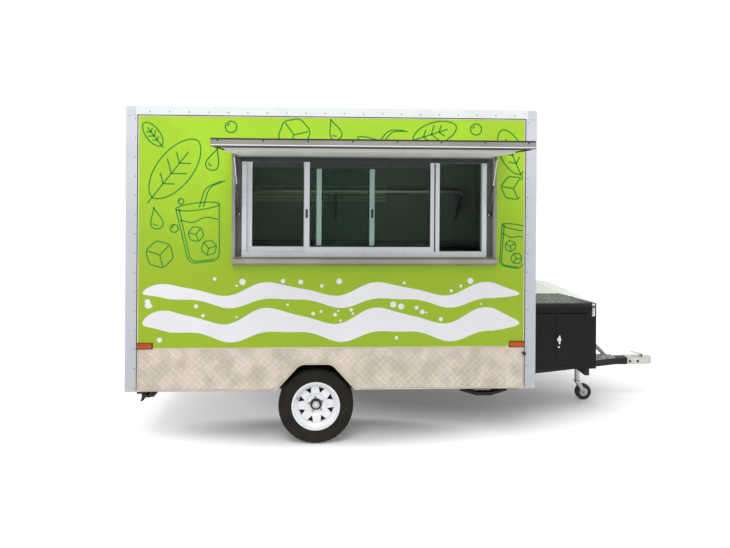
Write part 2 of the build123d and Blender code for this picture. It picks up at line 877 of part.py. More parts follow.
with BuildPart() as stabilisers:
    for start, direction in stabiliser_places:
        along = Vector(*direction)
        with BuildSketch(Plane(origin=start, x_dir=along, z_dir=along.cross(Vector(0, 0, 1)))):
            with BuildLine():
                Polyline(
                    (foot_from, stabiliser_rise),
                    (foot_to, stabiliser_rise),
                    (stabiliser_span, pivot_rise + arm_depth / 2),
                    (stabiliser_span, pivot_rise - arm_depth / 2),
                    (foot_to, 0),
                    (foot_from, 0),
                    (0, pivot_rise - arm_depth / 2),
                    (0, pivot_rise + arm_depth / 2),
                    close=True,
                )
            make_face()
            with BuildLine():
                Polyline(
                    (foot_from, stabiliser_rise - arm_depth),
                    (foot_to, stabiliser_rise - arm_depth),
                    (stabiliser_span - arm_depth, pivot_rise),
                    (foot_to, arm_depth),
                    (foot_from, arm_depth),
                    (arm_depth, pivot_rise),
                    close=True,
                )
            make_face(mode=Mode.SUBTRACT)
        extrude(amount=stabiliser_width / 2, both=True)
        with BuildSketch(Plane(origin=start, x_dir=(0, 0, 1), z_dir=along)):
            with Locations((pivot_rise, 0)):
                Circle(screw_r)
        extrude(amount=stabiliser_screw_length)

stabilisers.part.label = "stabilisers"
export_step(stabilisers.part, "parts/stabilisers.step")

# Gas strut geometry: pins on the lining and on the flap, in the strut's own plane
hinge_standoff = 9
hinge_rise = 28
strut_inset = 28
strut_anchor_depth = 48
strut_anchor_drop = 449
flap_axis_y = -side_y - hinge_standoff
flap_axis_z = level(opening_top + hinge_rise)
strut_low_y = -side_y + strut_anchor_depth
strut_low_z = level(opening_top - strut_anchor_drop)
strut_flap_reach = 190
strut_flap_drop = 49
strut_eye_r = 8
strut_eye_width = 10
strut_stud_r = 4
strut_tube_r = 9
strut_rod_r = 4
strut_tube_start = 14
strut_tube_end = 262
strut_overlap = 30
bracket_thick = 4
bracket_width = 30
strut_x = (("rear", opening_x[0] + strut_inset, 1), ("front", opening_x[1] - strut_inset, -1))
strut_top_y = flap_axis_y - strut_flap_reach
strut_top_z = flap_axis_z - strut_flap_drop

# Serving opening: a folded lining with an outer flange, closed at the back beside the windows
lining_depth = 92
lining_flange = 22
window_side_gap = 50
lining_back_y = -side_y + lining_depth
window_x = (opening_x[0] + window_side_gap, opening_x[1] - window_side_gap)
opening_z = (level(opening_bottom), level(opening_top))
with BuildPart() as opening_frame:
    block(
        (opening_x[0] - lining_flange, opening_x[1] + lining_flange),
        (-side_y - sheet_thick, -side_y),
        (opening_z[0], opening_z[1] + lining_flange),
    )
    block(opening_x, (-side_y - sheet_thick, lining_back_y), opening_z)
    block(
        (opening_x[0] + sheet_thick, opening_x[1] - sheet_thick),
        (-side_y - sheet_thick - overrun, lining_back_y + overrun),
        (opening_z[0] + sheet_thick, opening_z[1] - sheet_thick),
        mode=Mode.SUBTRACT,
    )

opening_frame.part.label = "opening_frame"
export_step(opening_frame.part, "parts/opening_frame.step")

lining_x = (opening_x[0] + sheet_thick, opening_x[1] - sheet_thick)
with BuildPart() as jamb_panels:
    for strip_from, strip_to in ((lining_x[0], window_x[0]), (window_x[1], lining_x[1])):
        block(
            (strip_from + seat_gap, strip_to - seat_gap),
            (lining_back_y - sheet_thick, lining_back_y),
            (opening_z[0] + sheet_thick + seat_gap, opening_z[1] - sheet_thick - seat_gap),
        )

jamb_panels.part.label = "jamb_panels"
export_step(jamb_panels.part, "parts/jamb_panels.step")

with BuildPart() as strut_anchors:
    for name, strut_at, inward in strut_x:
        plate_outer = strut_at - inward * (strut_inset - sheet_thick - seat_gap)
        plate_inner = plate_outer + inward * bracket_thick
        stud_end = strut_at - inward * (strut_eye_width / 2 + pin_gap)
        with BuildSketch(Plane.YZ.offset(min(plate_outer, stud_end))):
            with Locations((strut_low_y, strut_low_z)):
                Circle(strut_stud_r)
        extrude(amount=abs(plate_outer - stud_end))
        with BuildSketch(Plane.YZ.offset(min(plate_outer, plate_inner))):
            with Locations((strut_low_y, strut_low_z)):
                Rectangle(bracket_width, bracket_width)
        extrude(amount=bracket_thick)

strut_anchors.part.label = "strut_anchors"
export_step(strut_anchors.part, "parts/strut_anchors.step")

strut_length = math.hypot(strut_top_y - strut_low_y, strut_top_z - strut_low_z)
strut_direction = (0, (strut_top_y - strut_low_y) / strut_length, (strut_top_z - strut_low_z) / strut_length)
for name, strut_at, inward in strut_x:
    low_pin = (strut_at, strut_low_y, strut_low_z)
    strut_plane = Plane(origin=low_pin, x_dir=(1, 0, 0), z_dir=strut_direction)
    with BuildPart() as strut_tube:
        with BuildSketch(Plane.YZ.offset(strut_at - strut_eye_width / 2)):
            with Locations((strut_low_y, strut_low_z)):
                Circle(strut_eye_r)
        extrude(amount=strut_eye_width)
        with BuildSketch(strut_plane):
            Circle(strut_rod_r)
        extrude(amount=strut_tube_start + overrun / 2)
        with BuildSketch(strut_plane.offset(strut_tube_start)):
            Circle(strut_tube_r)
        extrude(amount=strut_tube_end - strut_tube_start)
        with BuildSketch(strut_plane.offset(strut_tube_start + overrun / 2)):
            Circle(strut_rod_r + seat_gap)
        extrude(amount=strut_tube_end, mode=Mode.SUBTRACT)
    strut_tube.part.label = f"strut_{name}_tube"
    export_step(strut_tube.part, f"parts/strut_{name}_tube.step")

    with BuildPart() as strut_rod:
        with BuildSketch(Plane.YZ.offset(strut_at - strut_eye_width / 2)):
            with Locations((strut_top_y, strut_top_z)):
                Circle(strut_eye_r)
        extrude(amount=strut_eye_width)
        with BuildSketch(strut_plane.offset(strut_tube_end - strut_overlap)):
            Circle(strut_rod_r)
        extrude(amount=strut_length - strut_tube_end + strut_overlap)
    strut_rod.part.label = f"strut_{name}_rod"
    export_step(strut_rod.part, f"parts/strut_{name}_rod.step")

# Serving flap, open and level: a panel with a plug that fills the opening when it hangs shut
flap_rear_lap = 25
flap_front_lap = 65
flap_length = 805
flap_thick = 46
flap_start = 6
leaf_plate = 3
plug_depth = 28
plug_side_gap = 55
plug_end_inset = 45
knuckle_r = 5
knuckle_count = 11
flap_x = (opening_x[0] - flap_rear_lap, opening_x[1] + flap_front_lap)
flap_width = flap_x[1] - flap_x[0]
flap_mid_x = sum(flap_x) / 2
flap_root_y = flap_axis_y - flap_start
flap_tip_y = flap_root_y - flap_length
flap_under_z = flap_axis_z + leaf_plate
with BuildPart() as flap_panel:
    block(flap_x, (flap_tip_y, flap_root_y), (flap_under_z, flap_under_z + flap_thick))
    block(
        (opening_x[0] + plug_side_gap, opening_x[1] - plug_side_gap),
        (flap_tip_y + plug_end_inset, flap_root_y - plug_end_inset),
        (flap_under_z - plug_depth, flap_under_z),
    )

flap_panel.part.label = "flap_panel"
export_step(flap_panel.part, "parts/flap_panel.step")

knuckle_pitch = flap_width / knuckle_count
with BuildPart() as flap_hinge_wall:
    block(
        flap_x,
        (-side_y - leaf_plate, -side_y),
        (flap_axis_z + leaf_plate, flap_axis_z + flap_thick - leaf_plate),
    )
    for index in range(0, knuckle_count, 2):
        knuckle_from = flap_x[0] + index * knuckle_pitch + pin_gap
        knuckle_to = flap_x[0] + (index + 1) * knuckle_pitch - pin_gap
        with BuildSketch(Plane.YZ.offset(knuckle_from)):
            with Locations((flap_axis_y, flap_axis_z)):
                Circle(knuckle_r)
        extrude(amount=knuckle_to - knuckle_from)
        block(
            (knuckle_from, knuckle_to),
            (flap_axis_y, -side_y),
            (flap_axis_z, flap_axis_z + knuckle_r),
        )

flap_hinge_wall.part.label = "flap_hinge_wall"
export_step(flap_hinge_wall.part, "parts/flap_hinge_wall.step")

with BuildPart() as flap_hinge_leaf:
    block(
        flap_x,
        (flap_axis_y - knuckle_r - pin_gap, flap_root_y - plug_end_inset + running_gap),
        (flap_axis_z, flap_under_z),
    )
    for index in range(1, knuckle_count, 2):
        knuckle_from = flap_x[0] + index * knuckle_pitch + pin_gap
        knuckle_to = flap_x[0] + (index + 1) * knuckle_pitch - pin_gap
        with BuildSketch(Plane.YZ.offset(knuckle_from)):
            with Locations((flap_axis_y, flap_axis_z)):
                Circle(knuckle_r)
        extrude(amount=knuckle_to - knuckle_from)
        block(
            (knuckle_from, knuckle_to),
            (flap_axis_y - knuckle_r - pin_gap, flap_axis_y),
            (flap_axis_z, flap_under_z),
        )

flap_hinge_leaf.part.label = "flap_hinge_leaf"
export_step(flap_hinge_leaf.part, "parts/flap_hinge_leaf.step")

with BuildPart() as flap_brackets:
    for name, strut_at, inward in strut_x:
        plate_from = strut_at + inward * (strut_tube_r + pin_gap)
        plate_to = plate_from + inward * bracket_thick
        stud_from = strut_at + inward * (strut_eye_width / 2 + pin_gap)
        with BuildSketch(Plane.YZ.offset(min(plate_from, plate_to))):
            with BuildLine():
                Polyline(
                    (strut_top_y - bracket_width, flap_under_z),
                    (strut_top_y + bracket_width, flap_under_z),
                    (strut_top_y + bracket_width / 3, strut_top_z - strut_eye_r),
                    (strut_top_y - bracket_width / 3, strut_top_z - strut_eye_r),
                    close=True,
                )
            make_face()
        extrude(amount=bracket_thick)
        with BuildSketch(Plane.YZ.offset(min(stud_from, plate_to))):
            with Locations((strut_top_y, strut_top_z)):
                Circle(strut_stud_r)
        extrude(amount=abs(plate_to - stud_from))

flap_brackets.part.label = "flap_brackets"
export_step(flap_brackets.part, "parts/flap_brackets.step")

# Serving sill, a folded shelf with a rolled front edge
sill_bottom = 1415
sill_side = 12
sill_reach = 70
sill_top = opening_bottom - running_gap / 2
sill_nose = 12
with BuildPart() as window_sill:
    with BuildSketch(Plane.YZ.offset(opening_x[0] - sill_side)):
        with BuildLine():
            Polyline(
                (-side_y, level(sill_bottom)),
                (-side_y, level(sill_top)),
                (-side_y - sill_reach, level(sill_top)),
                (-side_y - sill_reach, level(sill_bottom) + 2 * sill_nose),
                (-side_y - 2 * sill_nose, level(sill_bottom)),
                close=True,
            )
        make_face()
    extrude(amount=opening_to - opening_from + 2 * sill_side)
    fillet(
        window_sill.edges().filter_by(Axis.X).group_by(Axis.Y)[0],
        radius=sill_nose / 2,
    )

window_sill.part.label = "window_sill"
export_step(window_sill.part, "parts/window_sill.step")

# Windows: an outer frame with a centre post, three sashes in two tracks and one open bay
frame_setback = 32
frame_front_y = -side_y + frame_setback
frame_back_y = lining_back_y
frame_bar = 36
post_from_front = 428
post_width = 32
sash_thick = 22
track_gap = 4
sash_stile = 40
sash_rail = 42
glass_thick = 5
frame_z = (opening_z[0] + sheet_thick, opening_z[1] - sheet_thick)
post_x = (opening_x[1] - post_from_front - post_width, opening_x[1] - post_from_front)
bay_z = (frame_z[0] + frame_bar, frame_z[1] - frame_bar)
with BuildPart() as window_frame:
    block(window_x, (frame_front_y, frame_back_y), frame_z)
    block(
        (window_x[0] + frame_bar, post_x[0]),
        (frame_front_y - overrun, frame_back_y + overrun),
        bay_z,
        mode=Mode.SUBTRACT,
    )
    block(
        (post_x[1], window_x[1] - frame_bar),
        (frame_front_y - overrun, frame_back_y + overrun),
        bay_z,
        mode=Mode.SUBTRACT,
    )

window_frame.part.label = "window_frame"
export_step(window_frame.part, "parts/window_frame.step")

front_track_y = frame_front_y + track_gap
rear_track_y = front_track_y + sash_thick + track_gap
left_sash_width = 486
sash_lap = 34
slid_sash_start = 94
slid_sash_width = 460
left_sash_end = window_x[0] + frame_bar + left_sash_width
centre_sash_start = left_sash_end - sash_lap
slid_sash_x = centre_sash_start + slid_sash_start
sashes = (  # name, from, to, outer face of its track
    ("left", window_x[0] + frame_bar, left_sash_end, rear_track_y),
    ("centre", centre_sash_start, post_x[0], front_track_y),
    ("slid", slid_sash_x, slid_sash_x + slid_sash_width, rear_track_y),
)
with BuildPart() as window_sashes:
    for name, sash_from, sash_to, sash_y in sashes:
        block((sash_from, sash_to), (sash_y, sash_y + sash_thick), bay_z)
        block(
            (sash_from + sash_stile, sash_to - sash_stile),
            (sash_y - overrun / 2, sash_y + sash_thick + overrun / 2),
            (bay_z[0] + sash_rail, bay_z[1] - sash_rail),
            mode=Mode.SUBTRACT,
        )

window_sashes.part.label = "window_sashes"
export_step(window_sashes.part, "parts/window_sashes.step")

with BuildPart() as window_panes:
    for name, sash_from, sash_to, sash_y in sashes:
        pane_y = sash_y + (sash_thick - glass_thick) / 2
        block(
            (sash_from + sash_stile, sash_to - sash_stile),
            (pane_y, pane_y + glass_thick),
            (bay_z[0] + sash_rail, bay_z[1] - sash_rail),
        )

window_panes.part.label = "window_panes"
export_step(window_panes.part, "parts/window_panes.step")

# Lamps and the small round knob on the service side
marker_height = 791
marker_length = 120
marker_depth = 44
marker_from_end = 146
marker_proud = 20
knob_height = 721
knob_from_front = 92
knob_r = 14
knob_proud = 22
with BuildPart() as marker_lamps:
    for side, sign in near_and_far:
        for lamp_x in (rear_x + marker_from_end, front_x - marker_from_end):
            lamp_origin = (lamp_x, sign * side_y, level(marker_height))
            lamp_plane = Plane(origin=lamp_origin, x_dir=(1, 0, 0), z_dir=(0, sign, 0))
            with BuildSketch(lamp_plane):
                SlotOverall(marker_length, marker_depth)
            extrude(amount=marker_proud, taper=marker_proud)

marker_lamps.part.label = "marker_lamps"
export_step(marker_lamps.part, "parts/marker_lamps.step")

with BuildPart() as side_knob:
    with BuildSketch(Plane.XZ.offset(side_y + sheet_thick)):
        with Locations((front_x - knob_from_front, level(knob_height))):
            Circle(knob_r)
    extrude(amount=knob_proud)

side_knob.part.label = "side_knob"
export_step(side_knob.part, "parts/side_knob.step")

# Worktops and the wall shelf inside
worktop_top = 1440
worktop_thick = 30
worktop_depth = 500
worktop_end_gap = 60
panel_thick = 18
panel_shares = (0.0, 0.29, 0.62, 1.0)
worktop_x = (rear_x + wall_thick + worktop_end_gap, front_x - wall_thick - worktop_end_gap)
with BuildPart() as worktops:
    for side, sign in near_and_far:
        block(
            worktop_x,
            (sign * inner_y, sign * (inner_y - worktop_depth)),
            (level(worktop_top - worktop_thick), level(worktop_top)),
        )
        for panel_share in panel_shares:
            panel_x = worktop_x[0] + panel_share * (worktop_x[1] - worktop_x[0] - panel_thick)
            block(
                (panel_x, panel_x + panel_thick),
                (sign * inner_y, sign * (inner_y - worktop_depth + worktop_thick)),
                (level(floor_top), level(worktop_top - worktop_thick)),
            )

worktops.part.label = "worktops"
export_step(worktops.part, "parts/worktops.step")

shelf_height = 1960
shelf_depth = 300
shelf_rail = 24
shelf_end_gap = 250
shelf_rail_shares = (0.0, 0.5, 1.0)
shelf_x = (rear_x + shelf_end_gap, front_x - shelf_end_gap)
with BuildPart() as shelf_rails:
    for rail_share in shelf_rail_shares:
        rail_at = inner_y - shelf_depth + rail_share * (shelf_depth - shelf_rail)
        block(
            shelf_x,
            (rail_at, rail_at + shelf_rail),
            (level(shelf_height), level(shelf_height) + shelf_rail),
        )

shelf_rails.part.label = "shelf_rails"
export_step(shelf_rails.part, "parts/shelf_rails.step")

with BuildPart() as shelf_brackets:
    for bracket_x in (shelf_x[0], (shelf_x[0] + shelf_x[1]) / 2, shelf_x[1] - shelf_rail):
        with BuildSketch(Plane.YZ.offset(bracket_x)):
            with BuildLine():
                Polyline(
                    (inner_y, level(shelf_height)),
                    (inner_y - shelf_depth, level(shelf_height)),
                    (inner_y - shelf_depth, level(shelf_height) - shelf_rail),
                    (inner_y, level(shelf_height) - shelf_depth),
                    close=True,
                )
            make_face()
        extrude(amount=shelf_rail)

shelf_brackets.part.label = "shelf_brackets"
export_step(shelf_brackets.part, "parts/shelf_brackets.step")

# Locker on the drawbar, with two side doors and a hipped lid
locker_half = 575
locker_bottom = 463
locker_rim = 1003
locker_wall = 4
bearer_width = 40
bearer_inset = 60
locker_door_bottom = 511
locker_door_top = 941
locker_door_rear = 60
locker_door_split = 313
locker_door_front = 594
locker_door_thick = 18
locker_door_lip = 15
locker_x = (locker_rear_x, locker_front_x)
door_split_x = front_x + locker_door_split
door_rear_x = front_x + locker_door_rear
door_front_x = front_x + locker_door_front
locker_door_z = (level(locker_door_bottom), level(locker_door_top))
with BuildPart() as locker_bearers:
    for bearer_x in (locker_rear_x + bearer_inset, locker_front_x - bearer_inset - bearer_width):
        block(
            (bearer_x, bearer_x + bearer_width),
            (-locker_half, locker_half),
            (bar_top, level(locker_bottom)),
        )

locker_bearers.part.label = "locker_bearers"
export_step(locker_bearers.part, "parts/locker_bearers.step")

with BuildPart() as locker_shell:
    block(locker_x, (-locker_half, locker_half), (level(locker_bottom), level(locker_rim)))
    block(
        (locker_x[0] + locker_wall, locker_x[1] - locker_wall),
        (-locker_half + locker_wall, locker_half - locker_wall),
        (level(locker_bottom) + locker_wall, level(locker_rim + overrun)),
        mode=Mode.SUBTRACT,
    )
    block(
        (door_rear_x + locker_door_lip, door_front_x - locker_door_lip),
        (-locker_half - overrun, -locker_half + locker_wall + overrun),
        (locker_door_z[0] + locker_door_lip, locker_door_z[1] - locker_door_lip),
        mode=Mode.SUBTRACT,
    )

locker_shell.part.label = "locker_shell"
export_step(locker_shell.part, "parts/locker_shell.step")

lid_rim = 28
lid_crown = 59
lid_side_slope = 150
lid_front_slope = 270
lid_thick = 4
lid_base = level(locker_rim) + seat_gap
lid_top = lid_base + lid_rim + lid_crown
lid_length = locker_front_x - locker_rear_x
lid_centre_x = (locker_front_x + locker_rear_x) / 2
crown_length = lid_length - lid_side_slope - lid_front_slope
crown_centre_x = locker_rear_x + lid_side_slope + crown_length / 2
crown_width = 2 * (locker_half - lid_side_slope)
lid_shells = (  # name, thickness taken off every side, height taken off, mode
    ("outside", 0, 0, Mode.ADD),
    ("inside", lid_thick, lid_thick, Mode.SUBTRACT),
)
with BuildPart() as locker_lid:
    for name, side_cut, top_cut, shell_mode in lid_shells:
        block(
            (locker_rear_x + side_cut, locker_front_x - side_cut),
            (-locker_half + side_cut, locker_half - side_cut),
            (lid_base - side_cut, lid_base + lid_rim - top_cut),
            mode=shell_mode,
        )
        with BuildSketch(Plane.XY.offset(lid_base + lid_rim - top_cut)):
            with Locations((lid_centre_x, 0)):
                Rectangle(lid_length - 2 * side_cut, 2 * (locker_half - side_cut))
        with BuildSketch(Plane.XY.offset(lid_top - top_cut)):
            with Locations((crown_centre_x, 0)):
                Rectangle(crown_length, crown_width)
        loft(mode=shell_mode)

locker_lid.part.label = "locker_lid"
export_step(locker_lid.part, "parts/locker_lid.step")

handle_from_split = 29
handle_x = door_split_x + handle_from_split
handle_height = 724
handle_boss_r = 18
handle_boss_proud = 8
handle_bar_length = 74
handle_bar_width = 14
handle_bar_proud = 18
door_seat = 0.5
door_half_gap = 1.5
locker_doors = (  # name, rear edge, front edge
    ("rear", door_rear_x, door_split_x - door_half_gap),
    ("front", door_split_x + door_half_gap, door_front_x),
)
for name, leaf_from, leaf_to in locker_doors:
    with BuildPart() as locker_door:
        block(
            (leaf_from, leaf_to),
            (-locker_half - door_seat, -locker_half - door_seat - locker_door_thick),
            locker_door_z,
        )
    locker_door.part.label = f"locker_door_{name}"
    export_step(locker_door.part, f"parts/locker_door_{name}.step")

with BuildPart() as locker_handle:
    door_face_y = locker_half + door_seat + locker_door_thick
    with BuildSketch(Plane.XZ.offset(door_face_y)):
        with Locations((handle_x, level(handle_height))):
            Circle(handle_boss_r)
    extrude(amount=handle_boss_proud)
    with BuildSketch(Plane.XZ.offset(door_face_y + handle_boss_proud)):
        with Locations((handle_x, level(handle_height))):
            SlotOverall(handle_bar_length, handle_bar_width, rotation=90)
    extrude(amount=handle_bar_proud - handle_boss_proud)

locker_handle.part.label = "locker_handle"
export_step(locker_handle.part, "parts/locker_handle.step")

# Rear entry door with its window, lever handle and split hinges
door_hinge_y = 362.5
door_hinge_x = rear_x - 8
hinge_barrel_r = 7
hinge_half_height = 40
hinge_plate_width = 46
hinge_plate_thick = 5
hinge_heights = (900, 1480, 2250)
door_bottom = floor_top + running_gap
kick_top = skirt_top
with BuildPart() as rear_door:
    block(
        (rear_x, rear_x + door_leaf_thick),
        (-door_latch_edge, door_leaf_edge),
        (level(door_bottom), level(door_top - running_gap)),
    )
    block(
        (rear_x - overrun, rear_x + door_leaf_thick + overrun),
        (-door_window_half, door_window_half),
        (level(door_window_bottom), level(door_window_top)),
        mode=Mode.SUBTRACT,
    )
    block(
        (rear_x - sheet_thick, rear_x),
        (-door_latch_edge, door_leaf_edge),
        (level(door_bottom), level(kick_top)),
    )
    for hinge_height in hinge_heights:
        block(
            (door_hinge_x, rear_x),
            (door_hinge_y - hinge_plate_width, door_hinge_y),
            (level(hinge_height) + pin_gap, level(hinge_height) + hinge_half_height),
        )
        with BuildSketch(Plane.XY.offset(level(hinge_height) + pin_gap)):
            with Locations((door_hinge_x, door_hinge_y)):
                Circle(hinge_barrel_r)
        extrude(amount=hinge_half_height - pin_gap)

rear_door.part.label = "rear_door"
export_step(rear_door.part, "parts/rear_door.step")

with BuildPart() as rear_door_hinges:
    for hinge_height in hinge_heights:
        block(
            (door_hinge_x, rear_x),
            (door_hinge_y + pin_gap, door_hinge_y + hinge_plate_width),
            (level(hinge_height) - hinge_half_height, level(hinge_height)),
        )
        with BuildSketch(Plane.XY.offset(level(hinge_height) - hinge_half_height)):
            with Locations((door_hinge_x, door_hinge_y)):
                Circle(hinge_barrel_r)
        extrude(amount=hinge_half_height)

rear_door_hinges.part.label = "rear_door_hinges"
export_step(rear_door_hinges.part, "parts/rear_door_hinges.step")

with BuildPart() as rear_door_pane:
    pane_middle_x = rear_x + door_leaf_thick / 2
    block(
        (pane_middle_x - glass_thick / 2, pane_middle_x + glass_thick / 2),
        (-door_window_half, door_window_half),
        (level(door_window_bottom), level(door_window_top)),
    )

rear_door_pane.part.label = "rear_door_pane"
export_step(rear_door_pane.part, "parts/rear_door_pane.step")

lever_height = 1400
lever_from_edge = 55
lever_plate_width = 44
lever_plate_height = 180
lever_plate_proud = 8
lever_stem_r = 11
lever_stem_reach = 42
lever_handle_length = 120
lever_handle_depth = 20
with BuildPart() as rear_door_handle:
    lever_y = -door_latch_edge + lever_from_edge
    handle_plane = Plane(origin=(rear_x, lever_y, level(lever_height)), x_dir=(0, 1, 0), z_dir=(-1, 0, 0))
    with BuildSketch(handle_plane):
        RectangleRounded(lever_plate_width, lever_plate_height, lever_plate_width / 3)
    extrude(amount=lever_plate_proud)
    with BuildSketch(handle_plane):
        Circle(lever_stem_r)
    extrude(amount=lever_stem_reach)
    with BuildSketch(handle_plane.offset(lever_stem_reach - lever_handle_depth)):
        with Locations((lever_handle_length / 2 - lever_stem_r, 0)):
            SlotOverall(lever_handle_length, lever_handle_depth)
    extrude(amount=lever_handle_depth)

rear_door_handle.part.label = "rear_door_handle"
export_step(rear_door_handle.part, "parts/rear_door_handle.step")

# Tail lamps and the blank plate holder on the rear skirt
tail_lamp_y = 790
tail_lamp_height = 610
tail_lamp_width = 150
tail_lamp_tall = 90
tail_lamp_proud = 35
with BuildPart() as tail_lamps:
    for side, sign in near_and_far:
        lamp_plane = Plane(
            origin=(rear_x - sheet_thick, sign * tail_lamp_y, level(tail_lamp_height)),
            x_dir=(0, 1, 0),
            z_dir=(-1, 0, 0),
        )
        with BuildSketch(lamp_plane):
            RectangleRounded(tail_lamp_width, tail_lamp_tall, tail_lamp_tall / 5)
        extrude(amount=tail_lamp_proud, taper=tail_lamp_proud / 4)

tail_lamps.part.label = "tail_lamps"
export_step(tail_lamps.part, "parts/tail_lamps.step")

plate_holder_y = -540
plate_holder_height = 610
plate_holder_width = 320
plate_holder_tall = 170
plate_holder_thick = 4
plate_hole_r = 3.5
plate_hole_spacing = 178
with BuildPart() as plate_holder:
    holder_plane = Plane(
        origin=(rear_x - sheet_thick, plate_holder_y, level(plate_holder_height)),
        x_dir=(0, 1, 0),
        z_dir=(-1, 0, 0),
    )
    with BuildSketch(holder_plane):
        RectangleRounded(plate_holder_width, plate_holder_tall, plate_holder_tall / 12)
        with GridLocations(plate_hole_spacing, 0, 2, 1):
            Circle(plate_hole_r, mode=Mode.SUBTRACT)
    extrude(amount=plate_holder_thick)

plate_holder.part.label = "plate_holder"
export_step(plate_holder.part, "parts/plate_holder.step")
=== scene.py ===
"""Looks of a single-axle drinks trailer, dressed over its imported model.

Every length is in metres in the model's own frame: the origin is the tow ball's socket, +X is the way
the trailer is towed, -Y is the serving side and +Z is up. New pieces take their places from the boxes
of the model's nodes, so that they sit on what carries them.
"""

import logging
import math
from dataclasses import dataclass, field, replace
from enum import Enum
from typing import Callable, Iterable, Sequence

import bmesh
import bpy
import numpy as np
from mathutils import Matrix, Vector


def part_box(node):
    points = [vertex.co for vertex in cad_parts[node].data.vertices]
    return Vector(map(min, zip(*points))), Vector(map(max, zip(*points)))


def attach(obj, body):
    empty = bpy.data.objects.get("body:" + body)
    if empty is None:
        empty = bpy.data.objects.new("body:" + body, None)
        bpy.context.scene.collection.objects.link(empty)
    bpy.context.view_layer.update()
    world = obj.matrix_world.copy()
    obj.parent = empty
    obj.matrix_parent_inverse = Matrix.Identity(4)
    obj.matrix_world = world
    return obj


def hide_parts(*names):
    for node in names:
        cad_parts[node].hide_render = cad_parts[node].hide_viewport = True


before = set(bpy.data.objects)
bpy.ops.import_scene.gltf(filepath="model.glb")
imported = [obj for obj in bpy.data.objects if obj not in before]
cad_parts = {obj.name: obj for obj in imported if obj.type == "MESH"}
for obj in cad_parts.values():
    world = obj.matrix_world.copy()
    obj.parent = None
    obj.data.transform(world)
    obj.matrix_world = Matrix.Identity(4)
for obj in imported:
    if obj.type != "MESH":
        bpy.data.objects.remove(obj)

Array = np.ndarray
Colour = tuple[float, float, float]
Rows = tuple[tuple[float, ...], ...]

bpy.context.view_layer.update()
log = logging.getLogger("trailer")

# Offsets that keep one thin layer in front of another, the white trims' width, the cut of a thin
# bar's edges, and the two parts of a place that a drawing on a long side is made of
PRINT_LIFT = 0.0006
SEAT_LIFT = 0.0002
TRIM_WIDTH = 0.085
FINE_BEVEL = 0.0004
SIDE_AXES = [0, 2]


@dataclass(frozen=True)
class Extent:
    """Lowest and highest corner of a node at rest."""

    low: Array
    high: Array

    @property
    def middle(self) -> Array:
        """The centre of the box."""
        return (self.low + self.high) / 2

    @property
    def size(self) -> Array:
        """The three edge lengths of the box."""
        return self.high - self.low


def extent(node: str) -> Extent:
    """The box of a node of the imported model.

    Args:
        node: the node's name.

    Returns:
        Its lowest and highest corner as arrays.
    """
    low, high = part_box(node)
    return Extent(np.array(low, float), np.array(high, float))


def solids(node: str) -> list[Extent]:
    """The boxes of a node's separate solids, from its rearmost to its foremost.

    Args:
        node: the node's name.

    Returns:
        One box for each group of faces that hang together.
    """
    mesh = bmesh.new()
    mesh.from_mesh(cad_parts[node].data)
    bmesh.ops.remove_doubles(mesh, verts=mesh.verts, dist=1e-6)
    waiting, boxes = set(mesh.verts), []
    while waiting:
        reached, edge = set(), {waiting.pop()}
        while edge:
            reached |= edge
            edge = {link.other_vert(point) for point in edge for link in point.link_edges} - reached
        waiting -= reached
        places = np.array([point.co for point in reached])
        boxes.append(Extent(places.min(axis=0), places.max(axis=0)))
    mesh.free()
    return sorted(boxes, key=lambda box: (round(box.low[0], 4), round(box.low[1], 4)))


@dataclass(frozen=True)
class Ground:
    """Places on the top faces of a node, with the way each face looks."""

    points: Array
    normals: Array
    met: Array


def drape(node: str, places: Array) -> Ground:
    """Sets places in X and Y down on the highest face of a node.

    Each face is a triangle. A place is inside of it where its three barycentric shares are positive,
    and its height is the sum of the corners' heights by those shares.

    Args:
        node: the node's name.
        places: n by 2 points.

    Returns:
        The points in space, the normals there and which places met a face at all.
    """
    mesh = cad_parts[node].data
    mesh.calc_loop_triangles()
    corners = np.array([vertex.co for vertex in mesh.vertices])[
        np.array([triangle.vertices for triangle in mesh.loop_triangles])
    ]
    first, second, third = corners[:, 0], corners[:, 1], corners[:, 2]
    normals = np.cross(second - first, third - first)
    looks_up = normals[:, 2] > 1e-9
    first, second, third, normals = first[looks_up], second[looks_up], third[looks_up], normals[looks_up]
    area = normals[:, 2]
    x, y = places[:, :1], places[:, 1:]

    def share(start: Array, end: Array) -> Array:
        """Twice the area between a place and one edge, as a share of the whole face."""
        run, rise = (end - start)[:, :2].T
        return (run * (y - start[:, 1]) - rise * (x - start[:, 0])) / area

    of_third, of_first, of_second = share(first, second), share(second, third), share(third, first)
    inside = (of_third >= 0) & (of_first >= 0) & (of_second >= 0)
    height = of_first * first[:, 2] + of_second * second[:, 2] + of_third * third[:, 2]
    height = np.where(inside, height, -np.inf)
    best = height.argmax(axis=1)
    top = height[np.arange(len(places)), best]
    unit = normals / np.linalg.norm(normals, axis=1, keepdims=True)
    met = np.isfinite(top)
    return Ground(np.column_stack([places, np.where(met, top, 0.0)]), unit[best], met)


# Shapes as whole arrays


